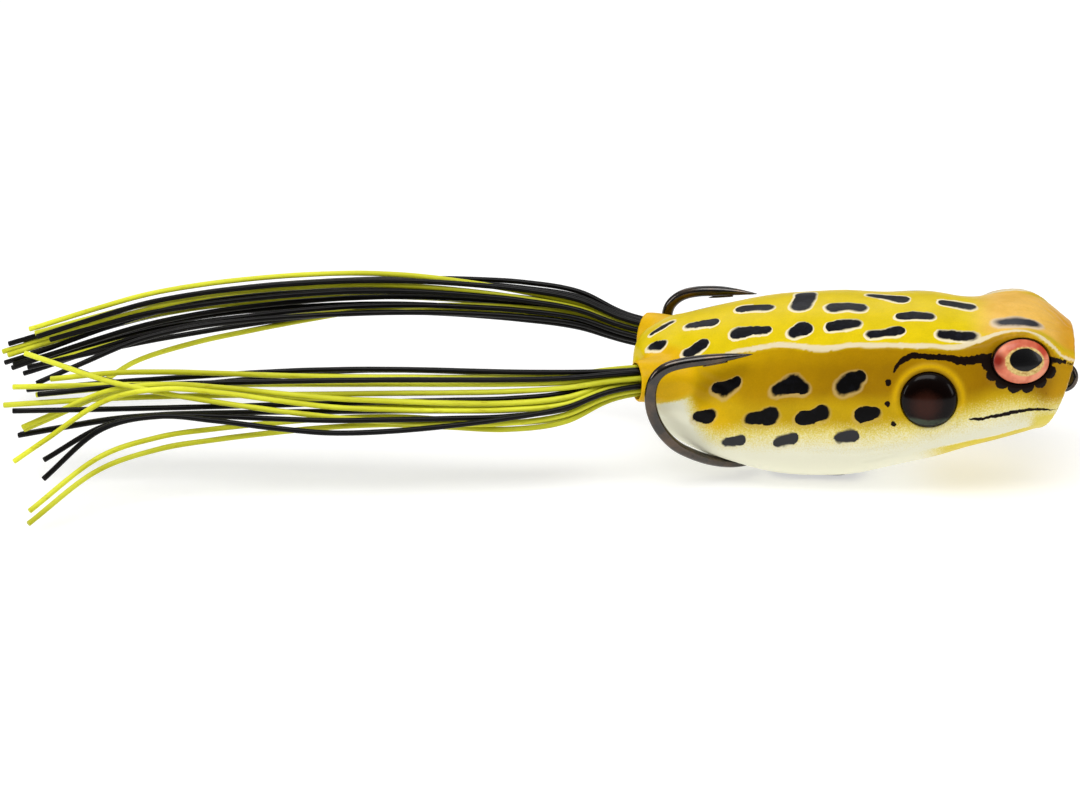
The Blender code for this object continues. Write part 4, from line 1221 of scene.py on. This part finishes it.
def inner_surface(points):
    """True for points on the inside of the hollow body."""
    found = np.zeros(len(points), bool)
    core = np.array((0, CORE_Z))
    for here, place, half, gaps in by_section(points, points[:, 0], 2, 90):
        skin = half[gaps.argmin(1)]
        inside = np.linalg.norm(place - core, axis=1) < np.linalg.norm(skin - core, axis=1)
        found[here] = inside & (gaps.min(1) > WALL * 0.72)
    return found & (points[:, 0] > CAVITY_X[0] - 0.4) & (points[:, 0] < CAVITY_X[1] + 1)


def frog_skin(material):
    """The soft body: lofted, joined to its sockets, evened out, sculpted, cut and painted."""
    skin = joined(outer_skin(), *[socket_sleeve(side) for side in SIDES.values()])
    remeshed(skin, SKIN_VOXEL)
    points = vertex_array(skin)
    at_socket = np.zeros(len(points))
    for side in SIDES.values():
        back, away = socket_places(points, side)
        at_socket += bump(away - 4.3, 1.6) * step_at(back, 4.0, 2.0) * step_at(-back, -9.4, 0.8)
    relaxed(skin, np.minimum(at_socket + 0.35, 1), 4)
    relaxed(skin, np.minimum(at_socket, 1), 26)
    sculpted(skin)
    cut(skin, body_cutters())
    skin.data.shade_smooth()
    skin.data.set_sharp_from_angle(angle=math.radians(42))
    painted(skin)
    skin.data.materials.clear()
    skin.data.materials.append(material)
    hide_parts("body_shell")
    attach(skin, "frog")


# ---------------------------------------------------------------- eyes, ears and metal

def dome(name, node, centre, out, side, half, height, material):
    """A finely ringed glossy dome standing in its pocket."""
    profile = [(0.9, -INSET_DEPTH), (0.97, -INSET_DEPTH + 0.04), (1.0, -INSET_DEPTH + 0.16),
               (1.0, -0.15)]
    profile += [(math.cos(a), height * math.sin(a) - DOME_SINK)
                for a in np.radians(np.r_[0:90:3.5])]
    rings = [oval(centre, out, side, [h * scale for h in half], rise, DOME_SIDES)
             for scale, rise in profile]
    top = side_point(centre, side) + skin_basis(out, side)[2] * (height - DOME_SINK)
    made = loft(name, rings, end=top)
    f, u, _ = local_places(vertex_array(made), centre, out, side)
    give(made, "forward", f)
    give(made, "up", u)
    made.data.materials.append(material)
    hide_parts(node)
    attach(made, "frog")


def hook_line():
    """The whole wire: right point, right shank, line-tie loop, left shank, left point."""
    loop = []
    for k in range(LOOP_STEPS + 1):
        t = k / LOOP_STEPS
        a = math.radians(-180 + LOOP_OPEN_DEG / 2 + t * (360 - LOOP_OPEN_DEG))
        y = LOOP_SHEAR * SHANK_HALF_GAP * (2 * t - 1)
        loop.append(Vector((LOOP_CENTRE[0] + LOOP_RADIUS * math.cos(a), y,
                            LOOP_CENTRE[1] + LOOP_RADIUS * math.sin(a))))
    halves = []
    for side, end in ((-1, loop[0]), (1, loop[-1])):
        shank = [p for p in hook_side(side, WIRE_STEP) if p.x < HOOK_ROUTE[-1][0] + 0.01]
        joint = through([shank[-1], shank[-1].lerp(end, 0.5), end], WIRE_STEP)
        halves.append(shank + joint[1:-1])
    return halves[0] + loop + halves[1][::-1]


def double_hook(material):
    """The wire, needle-sharp at both points, forged flat round the bends, with a barb on each."""
    line = hook_line()
    radii = []
    forged = []
    for p in line:
        radius = float(np.interp(p.x, LOOP_THINNING_X, (WIRE_RADIUS, LOOP_WIRE_RADIUS)))
        if p.z > HOOK_MID_Z and p.x < 0:
            back = (HOOK_ROUTE[0][0] - p.x) / POINT_LENGTH
            radius = float(np.interp(back, *zip(*POINT_TAPER, (1, radius))))
        radii.append(radius)
        away = math.hypot(p.x - FORGED_PLACE[0], p.z - FORGED_PLACE[1])
        forged.append(float(bump(away, FORGED_REACH)) if p.x < -12 else 0.0)

    def shape(i, out):
        """Forging makes the wire thinner across the lure and a little deeper along its bend."""
        return 1 + forged[i] * (0.10 - 0.26 * out.y * out.y)

    hook = tube("hook_wire", line, radii, 28, shape)
    joined(hook, *[loft("barb", barb_rings(side)) for side in SIDES.values()])
    hook.data.shade_smooth()
    hook.data.materials.append(material)
    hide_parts("double_hook")
    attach(hook, "frog")


def barb_rings(side):
    """The barb's rings: a wedge cut up from the wire behind the point."""
    upper = hook_side(side, 0.2)[:60]
    root = min(upper, key=lambda p: abs(p.x - BARB_ROOT_X))
    back = min(upper, key=lambda p: abs(p.x - BARB_ROOT_X + BARB_LENGTH))
    ahead = (root - back).normalized()
    inward = Vector((0, 0, -1)) - Vector((0, 0, -1)).dot(ahead) * ahead
    inward = (inward + Vector((0, -side * 0.15, 0))).normalized()
    across = ahead.cross(inward).normalized()
    rings = []
    for t in (0.0, 0.2, 0.4, 0.6, 0.8, 0.93, 1.0):
        centre = root.lerp(back, t) + inward * (BARB_LIFT[0] + t * BARB_LIFT[1])
        thick = 0.34 * (1 - t) ** 0.7 + 0.03
        deep = 0.46 * (1 - t) ** 0.8 + 0.03
        rings.append([centre + across * thick * math.cos(a) + inward * deep * math.sin(a)
                      for a in turn(12)])
    return rings


def belly_weight(frame, material):
    """The CAD weight, its edges rounded as cast."""
    weight = frame["nodes"]["belly_weight"]
    modifier = weight.modifiers.new("cast_edges", "BEVEL")
    modifier.width = 0.35 * MM
    modifier.segments = 3
    modifier.limit_method = "ANGLE"
    modifier.angle_limit = math.radians(25)
    weight.data.materials.clear()
    weight.data.materials.append(material)


def collars(frame, material):
    """The CAD collars that hold the strands together, rounded."""
    for name in SIDES:
        collar = frame["nodes"][f"skirt_collar_{name}"]
        modifier = collar.modifiers.new("round", "SUBSURF")
        modifier.levels = 2
        modifier.render_levels = 2
        collar.data.materials.clear()
        collar.data.materials.append(material)
        collar.data.shade_smooth()


# ---------------------------------------------------------------- the rubber legs

def centre_line(node):
    """The middle line of a CAD strand, read from the rings of its own mesh."""
    points = np.unique(np.round(vertex_array(node), 4), axis=0)
    points = points[np.argsort(-points[:, 0])]
    gaps = np.flatnonzero(-np.diff(points[:, 0]) > 0.9) + 1
    return [Vector(ring.mean(0)) for ring in np.split(points, gaps)]


def leg(frame, side_name, materials):
    """Eighteen strands that leave the socket together and fan out behind the body."""
    side = SIDES[side_name]
    mouth = side_point(SOCKET_END, side)
    along = (mouth - side_point(SOCKET_START, side)).normalized()
    start, end = ((mouth + along * d) * MM for d in (BEND_START, BEND_END))
    slots = {row["node"]: row["material_slot"] for row in frame["record"]["subparts"]}
    for number in range(1, STRANDS + 1):
        node = f"{side_name}_strand_{number:02d}"
        line = through(centre_line(frame["nodes"][node]), STRAND_STEP)
        seed = number * 7.3 + (50 if side > 0 else 0)
        radius = STRAND_RADIUS + 0.02 * noise.noise(Vector((seed, 0, 0)))
        radii = [radius * (1 + 0.05 * noise.noise(Vector((p.x * 0.25, seed, 0)))) for p in line]
        radii[0] = radii[-1] = radius * 0.9
        ahead = (line[-1] - line[-2]).normalized()
        line.insert(-1, line[-1] - ahead * 0.06)
        radii.insert(-1, radius)
        made = tube(f"{side_name}_leg_rubber_{number:02d}", line, radii, STRAND_SIDES)
        made.data.set_sharp_from_angle(angle=math.radians(50))
        tint = 0.5 + 0.9 * noise.noise(Vector((0, seed, 0)))
        give(made, "tint", np.full(len(made.data.vertices), np.clip(tint, 0, 1)))
        made.data.materials.append(materials[slots[node]])
        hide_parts(node)
        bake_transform(made)
        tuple(start)
        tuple(end)


# ---------------------------------------------------------------- stage

def aim(obj, place_mm, target_mm):
    """Stands a camera or a light at a place and turns it to its target."""
    place = Vector(place_mm) * MM
    obj.location = place
    obj.rotation_mode = "QUATERNION"
    obj.rotation_quaternion = (Vector(target_mm) * MM - place).to_track_quat("-Z", "Y")


def camera():
    a, e = math.radians(CAMERA_AZIMUTH), math.radians(CAMERA_ELEVATION)
    back = Vector((math.sin(a) * math.cos(e), -math.cos(a) * math.cos(e), math.sin(e)))
    data = bpy.data.cameras.new("camera")
    data.lens = CAMERA_LENS
    data.clip_start = 0.01
    data.clip_end = 20
    made = link("camera", data)
    aim(made, Vector(CAMERA_TARGET) + back * CAMERA_DISTANCE, CAMERA_TARGET)
    bpy.context.scene.camera = made


def area_light(name, place_mm, target_mm, size_mm, power):
    data = bpy.data.lights.new(name, "AREA")
    data.shape = "RECTANGLE"
    data.size = size_mm[0] * MM
    data.size_y = size_mm[1] * MM
    data.energy = power
    aim(link(name, data), place_mm, target_mm)


def floor():
    mesh = bmesh.new()
    bmesh.ops.create_grid(mesh, x_segments=2, y_segments=2, size=6.0)
    made = finish_mesh("floor", mesh, flat=True)
    made.location.z = -0.00002
    s = new_material("pale_floor")
    colour = s.mix(s.noise(40.0, 2.0, 0.5), linear(204, 204, 204), linear(208, 208, 208))
    made.data.materials.append(s.set(
        Base_Color=colour, Roughness=0.7, Specular_IOR_Level=0.1,
        Emission_Color=(1.0, 1.0, 1.0), Emission_Strength=FLOOR_GLOW))


def soft_room():
    """The world's light: brighter overhead, darker low in front as where a camera stands."""
    world = bpy.data.worlds.new("soft_room")
    s = Shader(world, "Background")
    direction = s.node("ShaderNodeSeparateXYZ")
    s.join(s.place("Generated"), direction.inputs[0])
    height = s.ramp(direction.outputs["Z"], 0.0, 0.8, 0.14, 0.5, soft=False)
    front = s.ramp(direction.outputs["Y"], -0.95, -0.3, 0.3, 1.0, soft=False)
    s.set(Color=(1.0, 1.0, 1.0), Strength=height * front)
    bpy.context.scene.world = world


def studio():
    """A pale floor under a bright soft room, and the lights."""
    floor()
    soft_room()
    for light in LIGHTS:
        area_light(*light)
    bpy.context.scene.view_settings.view_transform = "Standard"


def main():
    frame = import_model()
    camera()
    studio()
    frog_skin(skin_material())
    eye, ear = eye_material(), ear_material()
    for name, side in SIDES.items():
        dome(f"eye_dome_{name}", f"eye_{name}", EYE_CENTRE, EYE_OUT, side, EYE_HALF,
             EYE_DOME, eye)
        dome(f"ear_lens_{name}", f"ear_dome_{name}", EAR_CENTRE, EAR_OUT, side, EAR_HALF,
             EAR_DOME, ear)
    double_hook(wire_material())
    belly_weight(frame, weight_material())
    collars(frame, collar_material())
    rubbers = {
        "strand_yellow": rubber_material("yellow_rubber", linear(224, 226, 62),
                                         linear(198, 198, 40), linear(170, 150, 16), 0.34),
        "strand_black": rubber_material("black_rubber", linear(9, 7, 6),
                                        linear(4, 3, 3), linear(26, 22, 20), 0.32),
    }
    for name in SIDES:
        leg(frame, name, rubbers)


main()
